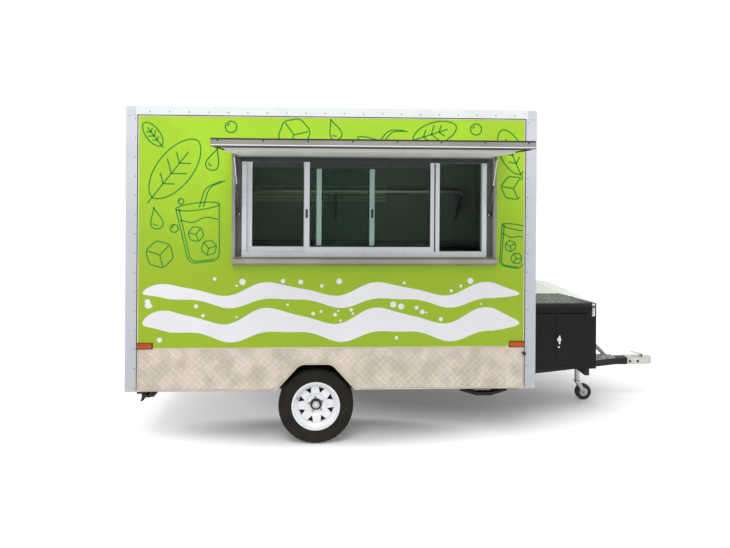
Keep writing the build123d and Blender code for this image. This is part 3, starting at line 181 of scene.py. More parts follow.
@dataclass
class Shape:
    """Points with the quads and triangles between them."""

    points: Array
    quads: Array = field(default_factory=lambda: np.zeros((0, 4), int))
    tris: Array = field(default_factory=lambda: np.zeros((0, 3), int))

    def moved(self, turn: Array | None = None, offset: Sequence[float] = (0.0, 0.0, 0.0)) -> "Shape":
        """The shape turned by a matrix whose rows are its new axes, then shifted."""
        points = self.points if turn is None else self.points @ np.asarray(turn, float)
        return Shape(points + np.asarray(offset, float), self.quads, self.tris)

    def flipped(self) -> "Shape":
        """The shape with every face looking the other way."""
        return Shape(self.points, self.quads[:, ::-1], self.tris[:, ::-1])

    def kept(self, stays: Array) -> "Shape":
        """The shape without the faces that touch a point for which the mask is false."""
        quads, tris = (faces[stays[faces].all(axis=1)] for faces in (self.quads, self.tris))
        return Shape(self.points, quads, tris)

    def repeated(self, offsets: Array, turns: Array | None = None) -> "Shape":
        """Copies of the shape at many places, as one shape.

        Args:
            offsets: one place for each copy, n by 3.
            turns: one matrix of new axes for each copy, n by 3 by 3, or none.

        Returns:
            All the copies, indexed together.
        """
        offsets = np.asarray(offsets, float).reshape(-1, 3)
        count, size = len(offsets), len(self.points)
        local = np.broadcast_to(self.points, (count, size, 3)) if turns is None else self.points @ turns
        points = (local + offsets[:, None, :]).reshape(-1, 3)
        step = (np.arange(count) * size)[:, None, None]
        return Shape(points, (self.quads + step).reshape(-1, 4), (self.tris + step).reshape(-1, 3))


def joined(shapes: Iterable[Shape]) -> Shape:
    """Several shapes as one, with their indices shifted past each other."""
    shapes = list(shapes)
    starts = np.cumsum([0] + [len(shape.points) for shape in shapes[:-1]])
    return Shape(
        np.concatenate([shape.points for shape in shapes]),
        np.concatenate([shape.quads + start for shape, start in zip(shapes, starts)]),
        np.concatenate([shape.tris + start for shape, start in zip(shapes, starts)]),
    )


def grid_shape(points: Array, wrap_rows: bool = False, wrap_columns: bool = False) -> Shape:
    """A surface through a grid of points: each cell of the grid is one quad.

    Args:
        points: rows by columns by 3.
        wrap_rows: joins the last row to the first.
        wrap_columns: joins the last column to the first.

    Returns:
        The surface.
    """
    rows, columns = points.shape[:2]
    index = np.arange(rows * columns).reshape(rows, columns)
    if wrap_rows:
        index = np.concatenate([index, index[:1]])
    if wrap_columns:
        index = np.concatenate([index, index[:, :1]], axis=1)
    quads = np.stack([index[:-1, :-1], index[1:, :-1], index[1:, 1:], index[:-1, 1:]], axis=-1)
    return Shape(points.reshape(-1, 3), quads.reshape(-1, 4))


def fan(ring: Array, centre: Array, flip: bool = False) -> Shape:
    """Triangles from a closed ring of points to one centre."""
    count = len(ring)
    start = np.arange(count)
    after = (start + 1) % count
    order = (after, start) if flip else (start, after)
    tris = np.stack([order[0], order[1], np.full(count, count)], axis=-1)
    return Shape(np.concatenate([ring, centre[None]]), tris=tris)


def prism(outline: Array, depth: float, bevel: float = 0.0) -> Shape:
    """A flat plate: the outline in X and Y carried from z = 0 to depth, with a bevelled top edge.

    Args:
        outline: n by 2 points, anticlockwise and seen whole from their mean.
        depth: the plate's thickness.
        bevel: how far the top edge is cut back.

    Returns:
        A closed shape.
    """
    middle = outline.mean(axis=0)
    shrink = 1 - bevel / np.maximum(np.linalg.norm(outline - middle, axis=1, keepdims=True), 1e-9)
    levels = [(outline, 0.0), (outline, depth - bevel), (middle + (outline - middle) * shrink, depth)]
    if bevel <= 0:
        levels = [(outline, 0.0), (outline, depth)]
    rings = np.stack([np.column_stack([flat, np.full(len(flat), height)]) for flat, height in levels])
    side = grid_shape(rings, wrap_columns=True).flipped()
    base = fan(rings[0], np.array([*middle, 0.0]), flip=True)
    top = fan(rings[-1], np.array([*middle, depth]))
    return joined([side, base, top])


def circle(radius: float, count: int, phase: float = 0.0) -> Array:
    """Points on a circle: radius times the cosine and sine of evenly spaced angles."""
    angle = phase + np.arange(count) * 2 * math.pi / count
    return radius * np.column_stack([np.cos(angle), np.sin(angle)])


def dome(radius: float, height: float, rings: int = 3, sides: int = 10) -> Shape:
    """A low round head on the plane z = 0: a quarter ellipse turned about Z."""
    share = np.linspace(0, 1, rings + 1)[:-1] * math.pi / 2
    flat = circle(1.0, sides)
    levels = np.stack([
        np.column_stack([flat * radius * math.cos(a), np.full(sides, height * math.sin(a))]) for a in share
    ])
    top = fan(levels[-1], np.array([0.0, 0.0, height]))
    return joined([grid_shape(levels, wrap_columns=True).flipped(), top])


def rounded_box(size: Sequence[float], bevel: float) -> Shape:
    """A bar of the given size about the origin with all its edges cut by one bevel."""
    half = np.asarray(size, float) / 2
    inner = half - bevel
    outline = np.array([
        (half[0], inner[1]), (inner[0], half[1]), (-inner[0], half[1]), (-half[0], inner[1]),
        (-half[0], -inner[1]), (-inner[0], -half[1]), (inner[0], -half[1]), (half[0], -inner[1]),
    ])
    small = outline * (inner[:2] / half[:2])
    rings = np.stack([
        np.column_stack([flat, np.full(len(flat), height)])
        for flat, height in ((small, -half[2]), (outline, -inner[2]), (outline, inner[2]), (small, half[2]))
    ])
    side = grid_shape(rings, wrap_columns=True).flipped()
    base = fan(rings[0], np.array([0.0, 0.0, -half[2]]), flip=True)
    return joined([side, base, fan(rings[-1], np.array([0.0, 0.0, half[2]]))])


def bar_between(low: Sequence[float], high: Sequence[float], bevel: float = 0.001) -> Shape:
    """A straight bevelled bar between two corners."""
    low, high = np.minimum(low, high), np.maximum(low, high)
    return rounded_box(high - low, min(bevel, float((high - low).min()) / 3)).moved(offset=(low + high) / 2)


def path_frames(path: Array, closed: bool, up: Sequence[float]) -> tuple[Array, Array]:
    """Two directions across a path at each of its points, square to it and to each other."""
    if closed:
        along = np.roll(path, -1, axis=0) - np.roll(path, 1, axis=0)
    else:
        along = np.gradient(path, axis=0)
    along /= np.linalg.norm(along, axis=1, keepdims=True)
    side = np.cross(along, np.asarray(up, float))
    side /= np.maximum(np.linalg.norm(side, axis=1, keepdims=True), 1e-9)
    return side, np.cross(side, along)


def swept(path: Array, profile: Array, up: Sequence[float], closed: bool = False) -> Shape:
    """A profile carried along a path: each point is the path's plus the profile's two parts.

    Args:
        path: n by 3 points.
        profile: m by 2 points, across the path and along up.
        up: a direction that is never along the path.
        closed: joins the path's end to its start.

    Returns:
        A tube, with its ends closed where the path is open.
    """
    side, rise = path_frames(path, closed, up)
    points = path[:, None] + profile[None, :, :1] * side[:, None] + profile[None, :, 1:] * rise[:, None]
    body = grid_shape(points, wrap_rows=closed, wrap_columns=True)
    if closed:
        return body
    return joined([body, fan(points[0], path[0]), fan(points[-1], path[-1], flip=True)])


def lathe(profile: Array, steps: int, closed_profile: bool = False) -> Shape:
    """A profile of (distance along Z, radius) turned about the Z axis."""
    angle = np.arange(steps) * 2 * math.pi / steps
    points = np.stack([
        np.column_stack([profile[:, 1] * math.cos(a), profile[:, 1] * math.sin(a), profile[:, 0]])
        for a in angle
    ])
    return grid_shape(points, wrap_rows=True, wrap_columns=closed_profile)


def rounded_path(corners: Array, radius: float, closed: bool = True, steps: int = 6) -> Array:
    """A path through flat corners with each one turned by a round.

    Args:
        corners: n by 2 points.
        radius: the distance from a corner at which its round starts, cut to half of a short side.
        closed: whether the path returns to its start.
        steps: points in each round, on a quadratic curve about the corner.

    Returns:
        The path's points, m by 2.
    """
    pieces = []
    count = len(corners)
    for index, corner in enumerate(corners):
        before, after = corners[index - 1], corners[(index + 1) % count]
        if not closed and index in (0, count - 1):
            pieces.append(corner[None])
            continue
        back, ahead = before - corner, after - corner
        reach = min(radius, np.linalg.norm(back) / 2, np.linalg.norm(ahead) / 2)
        start = corner + back / np.linalg.norm(back) * reach
        end = corner + ahead / np.linalg.norm(ahead) * reach
        share = np.linspace(0, 1, steps)[:, None]
        pieces.append((1 - share) ** 2 * start + 2 * share * (1 - share) * corner + share**2 * end)
    return np.concatenate(pieces)


def rectangle(low: Sequence[float], high: Sequence[float]) -> Array:
    """The four corners of a flat rectangle, anticlockwise from its lowest one."""
    return np.array([(low[0], low[1]), (high[0], low[1]), (high[0], high[1]), (low[0], high[1])])


def stood(flat: Array, y: float) -> Array:
    """A flat drawing stood up beside the trailer: its two parts become X and Z, at one distance in Y."""
    return np.column_stack([flat[:, 0], np.full(len(flat), y), flat[:, 1]])


AXES = {
    "x": np.array([[0.0, 1.0, 0.0], [0.0, 0.0, 1.0], [1.0, 0.0, 0.0]]),
    "-x": np.array([[0.0, -1.0, 0.0], [0.0, 0.0, 1.0], [-1.0, 0.0, 0.0]]),
    "y": np.array([[-1.0, 0.0, 0.0], [0.0, 0.0, 1.0], [0.0, 1.0, 0.0]]),
    "-y": np.array([[1.0, 0.0, 0.0], [0.0, 0.0, 1.0], [0.0, -1.0, 0.0]]),
}


def spin(degrees: float) -> Array:
    """The turn of a shape about Z, anticlockwise."""
    c, s = math.cos(math.radians(degrees)), math.sin(math.radians(degrees))
    return np.array([[c, s, 0.0], [-s, c, 0.0], [0.0, 0.0, 1.0]])


def facing(direction: str) -> Array:
    """The turn that lays a shape made on the plane z = 0 against a face that looks that way."""
    return AXES[direction]


def ribbon(path: Array, width: float, closed: bool = False) -> Shape:
    """A flat line of even width along a path in X and Y, on the plane z = 0.

    Each edge is the path plus or minus half the width along its normal, which is its direction turned
    a quarter turn.

    Args:
        path: n by 2 points.
        width: the line's width.
        closed: joins the path's end to its start.

    Returns:
        A strip that faces +Z.
    """
    if closed:
        along = np.roll(path, -1, axis=0) - np.roll(path, 1, axis=0)
    else:
        along = np.gradient(path, axis=0)
    along = along / np.maximum(np.linalg.norm(along, axis=1, keepdims=True), 1e-9)
    normal = np.column_stack([-along[:, 1], along[:, 0]]) * width / 2
    edges = np.stack([path - normal, path + normal], axis=1)
    points = np.concatenate([edges, np.zeros((*edges.shape[:2], 1))], axis=2)
    return grid_shape(points, wrap_rows=closed)


def disc(outline: Array) -> Shape:
    """A flat filled outline in X and Y on the plane z = 0, seen whole from its mean."""
    flat = np.column_stack([outline, np.zeros(len(outline))])
    return fan(flat, flat.mean(axis=0))


# Objects


def make_object(
    name: str,
    shape: Shape,
    finish: "Finish",
    body: str = "root",
    slot: str | None = None,
    smooth_angle: float = 35.0,
) -> bpy.types.Object:
    """Puts a shape into the scene as one piece that rides on a body.

    Args:
        name: the piece's name.
        shape: its points and faces.
        finish: its finish.
        body: the body of the model that it moves with.
        slot: the record's material slot that the piece counts to, or none for the finish's own; not used.
        smooth_angle: edges that turn by more than this many degrees stay sharp.

    Returns:
        The new object.
    """
    slot = slot or finish.slot
    mesh = bpy.data.meshes.new(name)
    quads, tris = len(shape.quads), len(shape.tris)
    mesh.vertices.add(len(shape.points))
    mesh.vertices.foreach_set("co", shape.points.astype(np.float32).ravel())
    mesh.loops.add(quads * 4 + tris * 3)
    mesh.loops.foreach_set(
        "vertex_index", np.concatenate([shape.quads.ravel(), shape.tris.ravel()]).astype(np.int32)
    )
    mesh.polygons.add(quads + tris)
    starts = np.concatenate([np.arange(quads) * 4, quads * 4 + np.arange(tris) * 3])
    mesh.polygons.foreach_set("loop_start", starts.astype(np.int32))
    mesh.polygons.foreach_set("use_smooth", np.ones(quads + tris, bool))
    mesh.update(calc_edges=True)
    mesh.validate()
    mesh.set_sharp_from_angle(angle=math.radians(smooth_angle))
    mesh.materials.append(finish.material())
    piece = bpy.data.objects.new(name, mesh)
    bpy.context.scene.collection.objects.link(piece)
    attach(piece, body)
    return piece


def dress(finish: "Finish", *nodes: str) -> None:
    """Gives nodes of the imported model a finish."""
    for node in nodes:
        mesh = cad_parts[node].data
        mesh.materials.clear()
        mesh.materials.append(finish.material())


# Shader nodes


def srgb(red: int, green: int, blue: int) -> Colour:
    """A colour read from a screen, 0 to 255 for each part, as linear values."""
    share = np.array([red, green, blue]) / 255
    linear = np.where(share <= 0.04045, share / 12.92, ((share + 0.055) / 1.055) ** 2.4)
    return tuple(float(part) for part in linear)


Socket = bpy.types.NodeSocket


class Graph:
    """A short hand for adding and linking the nodes of one tree."""

    def __init__(self, tree: bpy.types.NodeTree) -> None:
        """Keeps the tree that the nodes go into."""
        self.tree = tree

    def add(self, kind: str, inputs: dict | None = None, **settings: object) -> bpy.types.Node:
        """Adds a node.

        Args:
            kind: the node's type, without its ShaderNode prefix.
            inputs: for each input, by name or number, a socket to link or a plain value.
            settings: the node's own properties.

        Returns:
            The new node.
        """
        node = self.tree.nodes.new("ShaderNode" + kind)
        for key, value in settings.items():
            setattr(node, key, value)
        for key, value in (inputs or {}).items():
            self.feed(node.inputs[key], value)
        return node

    def feed(self, socket: Socket, value: object) -> None:
        """Links a socket into an input, or sets the input's own value."""
        if isinstance(value, bpy.types.NodeSocket):
            self.tree.links.new(value, socket)
        elif isinstance(value, tuple) and socket.type == "RGBA" and len(value) == 3:
            socket.default_value = (*value, 1.0)
        else:
            socket.default_value = value

    def maths(self, operation: str, first: object, second: object = 0.0, clamp: bool = False) -> Socket:
        """The result of one sum on two values."""
        return self.add("Math", {0: first, 1: second}, operation=operation, use_clamp=clamp).outputs[0]

    def blend(self, share: object, first: object, second: object, kind: str = "MIX") -> Socket:
        """Two colours mixed, with the second one's share."""
        node = self.add("Mix", data_type="RGBA", blend_type=kind)
        for index, value in ((0, share), (6, first), (7, second)):
            self.feed(node.inputs[index], value)
        return node.outputs[2]

    def span(self, value: object, low: float, high: float, to_low: float = 0.0, to_high: float = 1.0) -> Socket:
        """A value carried smoothly from one range to another and held at its ends."""
        inputs = {"Value": value, "From Min": low, "From Max": high, "To Min": to_low, "To Max": to_high}
        return self.add("MapRange", inputs, interpolation_type="SMOOTHSTEP").outputs["Result"]

    def noise(
        self, vector: Socket, size: object, detail: float = 3.0, stretch: Sequence[float] | None = None
    ) -> Socket:
        """Cloudy noise with features of about the given size in metres."""
        if stretch:
            vector = self.add("VectorMath", {0: vector, 1: tuple(stretch)}, operation="MULTIPLY").outputs[0]
        scale = self.maths("DIVIDE", 1.0, size)
        return self.add("TexNoise", {"Vector": vector, "Scale": scale, "Detail": detail}).outputs["Fac"]

    def seen(self) -> Socket:
        """One on rays from the camera and on those that come by a mirror or a glass, else zero."""
        path = self.add("LightPath").outputs
        straight = self.maths("MAXIMUM", path["Is Camera Ray"], path["Is Glossy Ray"])
        return self.maths("MAXIMUM", straight, path["Is Transmission Ray"])

    def effect(self, name: str, inputs: dict) -> bpy.types.Node:
        """Places a shared effect in this tree."""
        node = self.tree.nodes.new("ShaderNodeGroup")
        node.node_tree = EFFECTS[name]
        for key, value in inputs.items():
            self.feed(node.inputs[key], value)
        return node


SOCKET_KINDS = {"float": "NodeSocketFloat", "vector": "NodeSocketVector", "colour": "NodeSocketColor"}
EFFECTS: dict[str, bpy.types.NodeTree] = {}


def effect_tree(
    name: str, inputs: dict[str, str], outputs: dict[str, str]
) -> tuple[Graph, dict, bpy.types.Node]:
    """Starts a shared effect.

    Args:
        name: the effect's name.
        inputs: each input's name and kind.
        outputs: each output's name and kind.

    Returns:
        The graph to build it in, its inputs as sockets by name, and its output node.
    """
    tree = bpy.data.node_groups.new(name, "ShaderNodeTree")
    for way, sockets in (("INPUT", inputs), ("OUTPUT", outputs)):
        for label, kind in sockets.items():
            tree.interface.new_socket(name=label, in_out=way, socket_type=SOCKET_KINDS[kind])
    start = tree.nodes.new("NodeGroupInput")
    end = tree.nodes.new("NodeGroupOutput")
    EFFECTS[name] = tree
    return Graph(tree), {label: start.outputs[label] for label in inputs}, end


def make_grain() -> None:
    """Fine unevenness: a height of even noise, drawn out along one axis by the stretch."""
    graph, given, end = effect_tree(
        "grain", {"Vector": "vector", "Size": "float", "Stretch": "vector"},
        {"Height": "float", "Mask": "float"},
    )
    drawn = graph.add("VectorMath", {0: given["Vector"], 1: given["Stretch"]}, operation="MULTIPLY").outputs[0]
    fine = graph.noise(drawn, given["Size"], 4.0)
    coarse = graph.noise(drawn, graph.maths("MULTIPLY", given["Size"], 9.0), 2.0)
    height = graph.maths("ADD", graph.maths("MULTIPLY", fine, 0.6), graph.maths("MULTIPLY", coarse, 0.4))
    graph.feed(end.inputs["Height"], height)
    graph.feed(end.inputs["Mask"], graph.span(height, 0.35, 0.65))


def make_dust() -> None:
    """Road dust: most at the low end of a span of heights, and on faces that look up, broken by noise."""
    graph, given, end = effect_tree(
        "dust", {"Vector": "vector", "Low": "float", "High": "float", "Amount": "float"}, {"Mask": "float"}
    )
    height = graph.add("SeparateXYZ", {0: given["Vector"]}).outputs["Z"]
    share = graph.add(
        "MapRange",
        {"Value": height, "From Min": given["High"], "From Max": given["Low"]},
        interpolation_type="SMOOTHSTEP",
    ).outputs["Result"]
    upward = graph.add("SeparateXYZ", {0: graph.add("NewGeometry").outputs["Normal"]}).outputs["Z"]
    flat = graph.span(upward, 0.6, 1.0, 0.0, 0.5)
    broken = graph.span(graph.noise(given["Vector"], 0.025, 5.0), 0.2, 0.8, 0.35, 1.0)
    share = graph.maths("MULTIPLY", graph.maths("ADD", share, flat, clamp=True), broken)
    graph.feed(end.inputs["Mask"], graph.maths("MULTIPLY", share, given["Amount"], clamp=True))


def make_edges() -> None:
    """Worn edges, and on the sill a painted highlight: where a normal taken over a small radius leaves the
    face's own, broken by noise.
    """
    graph, given, end = effect_tree(
        "edges", {"Vector": "vector", "Radius": "float", "Amount": "float"},
        {"Mask": "float", "Normal": "vector"},
    )
    rounded = graph.add("Bevel", {"Radius": given["Radius"]}, samples=4).outputs["Normal"]
    own = graph.add("NewGeometry").outputs["Normal"]
    turn = graph.add("VectorMath", {0: rounded, 1: own}, operation="DOT_PRODUCT").outputs["Value"]
    edge = graph.span(turn, 0.99, 0.8)
    broken = graph.span(graph.noise(given["Vector"], 0.02, 4.0), 0.4, 0.62)
    worn = graph.maths("MULTIPLY", edge, broken)
    graph.feed(end.inputs["Mask"], graph.maths("MULTIPLY", worn, given["Amount"]))
    graph.feed(end.inputs["Normal"], rounded)


def make_streaks() -> None:
    """Faint marks of rain down an upright face: noise that is drawn out along Z."""
    graph, given, end = effect_tree("streaks", {"Vector": "vector", "Amount": "float"}, {"Mask": "float"})
    drawn = graph.noise(given["Vector"], 0.03, 3.0, stretch=(1.0, 1.0, 0.04))
    broad = graph.noise(given["Vector"], 0.6, 2.0)
    share = graph.maths("MULTIPLY", graph.span(drawn, 0.5, 0.75), graph.span(broad, 0.4, 0.65))
    graph.feed(end.inputs["Mask"], graph.maths("MULTIPLY", share, given["Amount"]))


ROOM_MIDDLE = (-3.025, 0.0, 1.0)
ROOM_HALF = (1.575, 0.975, 1.245)


def make_inside() -> None:
    """The cabin's inner faces: one inside of a box that runs through the middle of every wall, else zero."""
    graph, given, end = effect_tree("inside", {"Vector": "vector"}, {"Mask": "float"})
    offset = graph.add("VectorMath", {0: given["Vector"], 1: ROOM_MIDDLE}, operation="SUBTRACT").outputs[0]
    away = graph.add("VectorMath", {0: offset}, operation="ABSOLUTE").outputs[0]
    parts = graph.add("SeparateXYZ", {0: away})
    mask = graph.maths("LESS_THAN", parts.outputs["X"], ROOM_HALF[0])
    for axis, half in (("Y", ROOM_HALF[1]), ("Z", ROOM_HALF[2])):
        mask = graph.maths("MULTIPLY", mask, graph.maths("LESS_THAN", parts.outputs[axis], half))
    graph.feed(end.inputs["Mask"], mask)


DUST_COLOUR = srgb(168, 158, 140)
CABIN_LINING = srgb(172, 186, 176)


@dataclass(frozen=True)
class Finish:
    """A paint, metal, plastic or rubber: one colour with a second one in its mottling.

    The colour is the first one mixed towards the second by cloudy noise, then towards dust near the
    ground and towards the bare_and_sheen colour on worn edges, which on the sill is a painted highlight
    along its edges. Roughness follows the same masks, and a fine grain lifts the surface under edges
    that look slightly rounded.
    """

    name: str
    slot: str
    colour: Colour
    second: Colour
    roughness: float = 0.45
    roughness_span: float = 0.12
    metallic: float = 0.0
    coat: float = 0.0
    specular: float = 0.5
    mottle_size: float = 0.25
    grain_size: float = 0.0012
    grain_stretch: tuple[float, float, float] = (1.0, 1.0, 1.0)
    grain_depth: float = 0.00004
    edge_radius: float = 0.0015
    # How much and towards which colour the edges turn: real wear, and on the sill a painted highlight.
    wear_and_sheen: float = 0.0
    bare_and_sheen: Colour = (0.4, 0.4, 0.4)
    dust: float = 0.0
    dust_low: float = -0.35
    dust_high: float = 0.35
    streaks: float = 0.0
    lining: Colour | None = None

    def base_colour(self, graph: Graph, coords: Socket) -> Socket:
        """The mottled colour before dust and wear, worked out from Object coordinates."""
        cloud = graph.span(graph.noise(coords, self.mottle_size), 0.3, 0.7)
        return graph.blend(cloud, self.colour, self.second)

    def finish_shader(self, graph: Graph, shader: bpy.types.Node) -> None:
        """Adds what a special finish sets on its shader beyond the common values."""

    def material(self) -> bpy.types.Material:
        """The finish as a material, made at its first use."""
        made = bpy.data.materials.get(self.name)
        if made:
            return made
        made = bpy.data.materials.new(self.name)
        made.use_nodes = True
        made.node_tree.nodes.clear()
        made.diffuse_color = (*self.colour, 1.0)
        graph = Graph(made.node_tree)
        coords = graph.add("TexCoord").outputs["Object"]
        grain = graph.effect("grain", {"Vector": coords, "Size": self.grain_size, "Stretch": self.grain_stretch})
        edges = graph.effect("edges", {"Vector": coords, "Radius": self.edge_radius, "Amount": self.wear_and_sheen})
        colour = self.base_colour(graph, coords)
        if self.lining:
            inside = graph.effect("inside", {"Vector": coords}).outputs["Mask"]
            colour = graph.blend(inside, colour, self.lining)
        roughness = graph.maths(
            "ADD", self.roughness - self.roughness_span / 2,
            graph.maths("MULTIPLY", grain.outputs["Mask"], self.roughness_span),
        )
        if self.streaks:
            marks = graph.effect("streaks", {"Vector": coords, "Amount": self.streaks})
            colour = graph.blend(marks.outputs["Mask"], colour, DUST_COLOUR)
        if self.dust:
            inputs = {"Vector": coords, "Low": self.dust_low, "High": self.dust_high, "Amount": self.dust}
            dust = graph.effect("dust", inputs).outputs["Mask"]
            colour = graph.blend(dust, colour, DUST_COLOUR)
            roughness = graph.maths("ADD", roughness, graph.maths("MULTIPLY", dust, 0.4), clamp=True)
        if self.wear_and_sheen:
            colour = graph.blend(edges.outputs["Mask"], colour, self.bare_and_sheen)
        bump_inputs = {
            "Strength": 1.0,
            "Distance": self.grain_depth,
            "Height": grain.outputs["Height"],
            "Normal": edges.outputs["Normal"],
        }
        shader = graph.add("BsdfPrincipled", {
            "Base Color": colour,
            "Roughness": roughness,
            "Metallic": self.metallic,
            "Specular IOR Level": self.specular,
            "Coat Weight": self.coat,
            "Coat Roughness": 0.12,
            "Normal": graph.add("Bump", bump_inputs).outputs["Normal"],
        })
        self.finish_shader(graph, shader)
        graph.add("OutputMaterial", {"Surface": shader.outputs["BSDF"]})
        return made


@dataclass(frozen=True)
class VinylWithPaintedShade(Finish):
    """Vinyl film with painted light: its colour runs from a darker low one to a lighter high one up the panel,
    with a soft mottle.
    """

    painted_light_colour: Colour = (0.5, 0.8, 0.1)
    low_height: float = 0.0
    high_height: float = 1.0

    def base_colour(self, graph: Graph, coords: Socket) -> Socket:
        """The colour and the lighter painted-light colour mixed by the smoothed share of the height, then
        lightly mottled.
        """
        height = graph.add("SeparateXYZ", {0: coords}).outputs["Z"]
        wavy = graph.maths("ADD", height, graph.maths("MULTIPLY", graph.noise(coords, 0.9, 2.0), 0.35))
        run = graph.blend(graph.span(wavy, self.low_height, self.high_height), self.colour, self.painted_light_colour)
        cloud = graph.span(graph.noise(coords, self.mottle_size), 0.35, 0.7, 0.0, 0.3)
        return graph.blend(cloud, run, self.second)


@dataclass(frozen=True)
class LidPlate(Finish):
    """Tread plate over a painted rim, with painted light: the near slope is grey and darkens towards its hip as
    painted shade, and the rest is a pale painted highlight.
    """

    rim_colour: Colour = (0.01, 0.01, 0.01)
    rim_height: float = 0.0
    painted_highlight_colour: Colour = (0.8, 0.8, 0.8)
    painted_shade_colour: Colour = (0.05, 0.05, 0.05)
    crest: tuple[float, float] = (-1.017, -0.425)
    hip_slope: float = 0.5556
    painted_shade_span: tuple[float, float] = (-1.00, -0.80)

    def base_colour(self, graph: Graph, coords: Socket) -> Socket:
        """The mottled metal, darkened along X by painted shade, turned pale past the line of crest and hip by a
        painted highlight, and the rim's colour below.
        """
        metal = super().base_colour(graph, coords)
        parts = graph.add("SeparateXYZ", {0: coords}).outputs
        metal = graph.blend(graph.span(parts["X"], *self.painted_shade_span, 0.0, 0.7), metal, self.painted_shade_colour)
        past = graph.maths("MAXIMUM", graph.maths("SUBTRACT", parts["X"], self.crest[0]), 0.0)
        line = graph.maths("SUBTRACT", self.crest[1], graph.maths("MULTIPLY", past, self.hip_slope))
        metal = graph.blend(graph.maths("GREATER_THAN", parts["Y"], line), metal, self.painted_highlight_colour)
        return graph.blend(graph.maths("LESS_THAN", parts["Z"], self.rim_height), metal, self.rim_colour)


@dataclass(frozen=True)
class Plywood(Finish):
    """Board with long grain lines along X, darker where the noise peaks."""

    def base_colour(self, graph: Graph, coords: Socket) -> Socket:
        """Two wood tones mixed by noise that is drawn out along X."""
        grain = graph.noise(coords, 0.012, 5.0, stretch=(0.05, 1.0, 1.0))
        return graph.blend(graph.span(grain, 0.38, 0.66), self.colour, self.second)


@dataclass(frozen=True)
class SeeThrough(Finish):
    """Glass or a clear plastic: light passes it, tinted by its colour."""

    transmission: float = 1.0
    refraction: float = 1.45

    def finish_shader(self, graph: Graph, shader: bpy.types.Node) -> None:
        """Lets the light through."""
        shader.inputs["Transmission Weight"].default_value = self.transmission
        shader.inputs["IOR"].default_value = self.refraction


@dataclass(frozen=True)
class Lens(SeeThrough):
    """A lamp's lens: partly clear, with a faint glow of its own colour."""

    glow: float = 0.15

    def finish_shader(self, graph: Graph, shader: bpy.types.Node) -> None:
        """Lets some light through and adds the glow."""
        super().finish_shader(graph, shader)
        shader.inputs["Emission Color"].default_value = (*self.colour, 1.0)
        shader.inputs["Emission Strength"].default_value = self.glow


def build_effects() -> None:
    """Makes every shared effect."""
    for make in (make_grain, make_dust, make_edges, make_streaks, make_inside):
        make()


# Painted light: the green grows lighter up the wall, from low_height to high_height; the door's green is a copy
# of it.
WALL_GREEN = VinylWithPaintedShade(
    "wall_green", "panel_green", srgb(150, 181, 26), srgb(143, 174, 24), roughness=0.4, coat=0.1, specular=0.3,
    grain_depth=0.00002, grain_size=0.004, mottle_size=0.6, streaks=0.03, dust=0.05, dust_low=-0.1,
    dust_high=0.5, painted_light_colour=srgb(170, 216, 44), low_height=0.9, high_height=2.25, lining=CABIN_LINING,
)
DOOR_GREEN = replace(WALL_GREEN, name="door_green", slot="door_white")
FLAP_WHITE = Finish(
    "flap_skin", "panel_white", srgb(224, 224, 220), srgb(220, 220, 216), roughness=0.45, specular=0.35,
    grain_size=0.003,
)
ROOF_WHITE = Finish(
    "roof_white_skin", "roof_white", srgb(226, 228, 227), srgb(221, 223, 221), roughness=0.45,
    grain_size=0.004, dust=0.03, dust_low=-1.0, dust_high=-0.9, lining=CABIN_LINING,
)
# Painted light: the trims' enamel grows lighter up the box, from low_height to high_height.
TRIM_WHITE = VinylWithPaintedShade(
    "trim_enamel", "trim_white", srgb(186, 190, 197), srgb(180, 184, 191), roughness=0.34, coat=0.2,
    wear_and_sheen=0.1, bare_and_sheen=srgb(160, 162, 164), streaks=0.06, dust=0.08, dust_low=-0.1, dust_high=0.4,
    mottle_size=0.5, painted_light_colour=srgb(207, 210, 217), low_height=0.4, high_height=2.3,
)
# Painted light: the roof trim is the trims' enamel made lighter, as the top of the box catches more light.
ROOF_TRIM_PAINTED_LIGHT = Finish(
    "roof_trim_enamel_painted_light", "trim_white", srgb(232, 236, 238), srgb(224, 228, 231), roughness=0.34, coat=0.2,
    wear_and_sheen=0.1, bare_and_sheen=srgb(160, 162, 164), streaks=0.06,
)
BEAD_CREAM = Finish(
    "bead_cream", "trim_white", srgb(222, 216, 196), srgb(206, 199, 178), roughness=0.4, wear_and_sheen=0.2,
    bare_and_sheen=srgb(160, 152, 132),
)
RIVET_ALU = Finish(
    "rivet_alu", "trim_white", srgb(150, 152, 155), srgb(128, 130, 134), roughness=0.4, metallic=0.5,
)
TREAD_ALU = Finish(
    "tread_alu", "tread_plate", srgb(212, 199, 186), srgb(186, 174, 160), roughness=0.42, metallic=0.3,
    mottle_size=0.12, grain_size=0.002, grain_depth=0.00008, wear_and_sheen=0.35, bare_and_sheen=srgb(230, 222, 212),
    dust=0.1, dust_low=0.05, dust_high=0.45,
)
LOZENGE_ALU = Finish(
    "lozenge_alu", "tread_plate", srgb(228, 216, 203), srgb(204, 192, 178), roughness=0.34, metallic=0.35,
    mottle_size=0.12, wear_and_sheen=0.3, bare_and_sheen=srgb(244, 238, 230),
)
SKIRT_SHADOW = Finish(
    "skirt_fold_shade", "tread_plate", srgb(150, 139, 124), srgb(128, 118, 104), roughness=0.6,
)
MARKER_BASE = Finish(
    "marker_base_red", "lamp_amber", srgb(112, 40, 16), srgb(92, 30, 12), roughness=0.4,
)
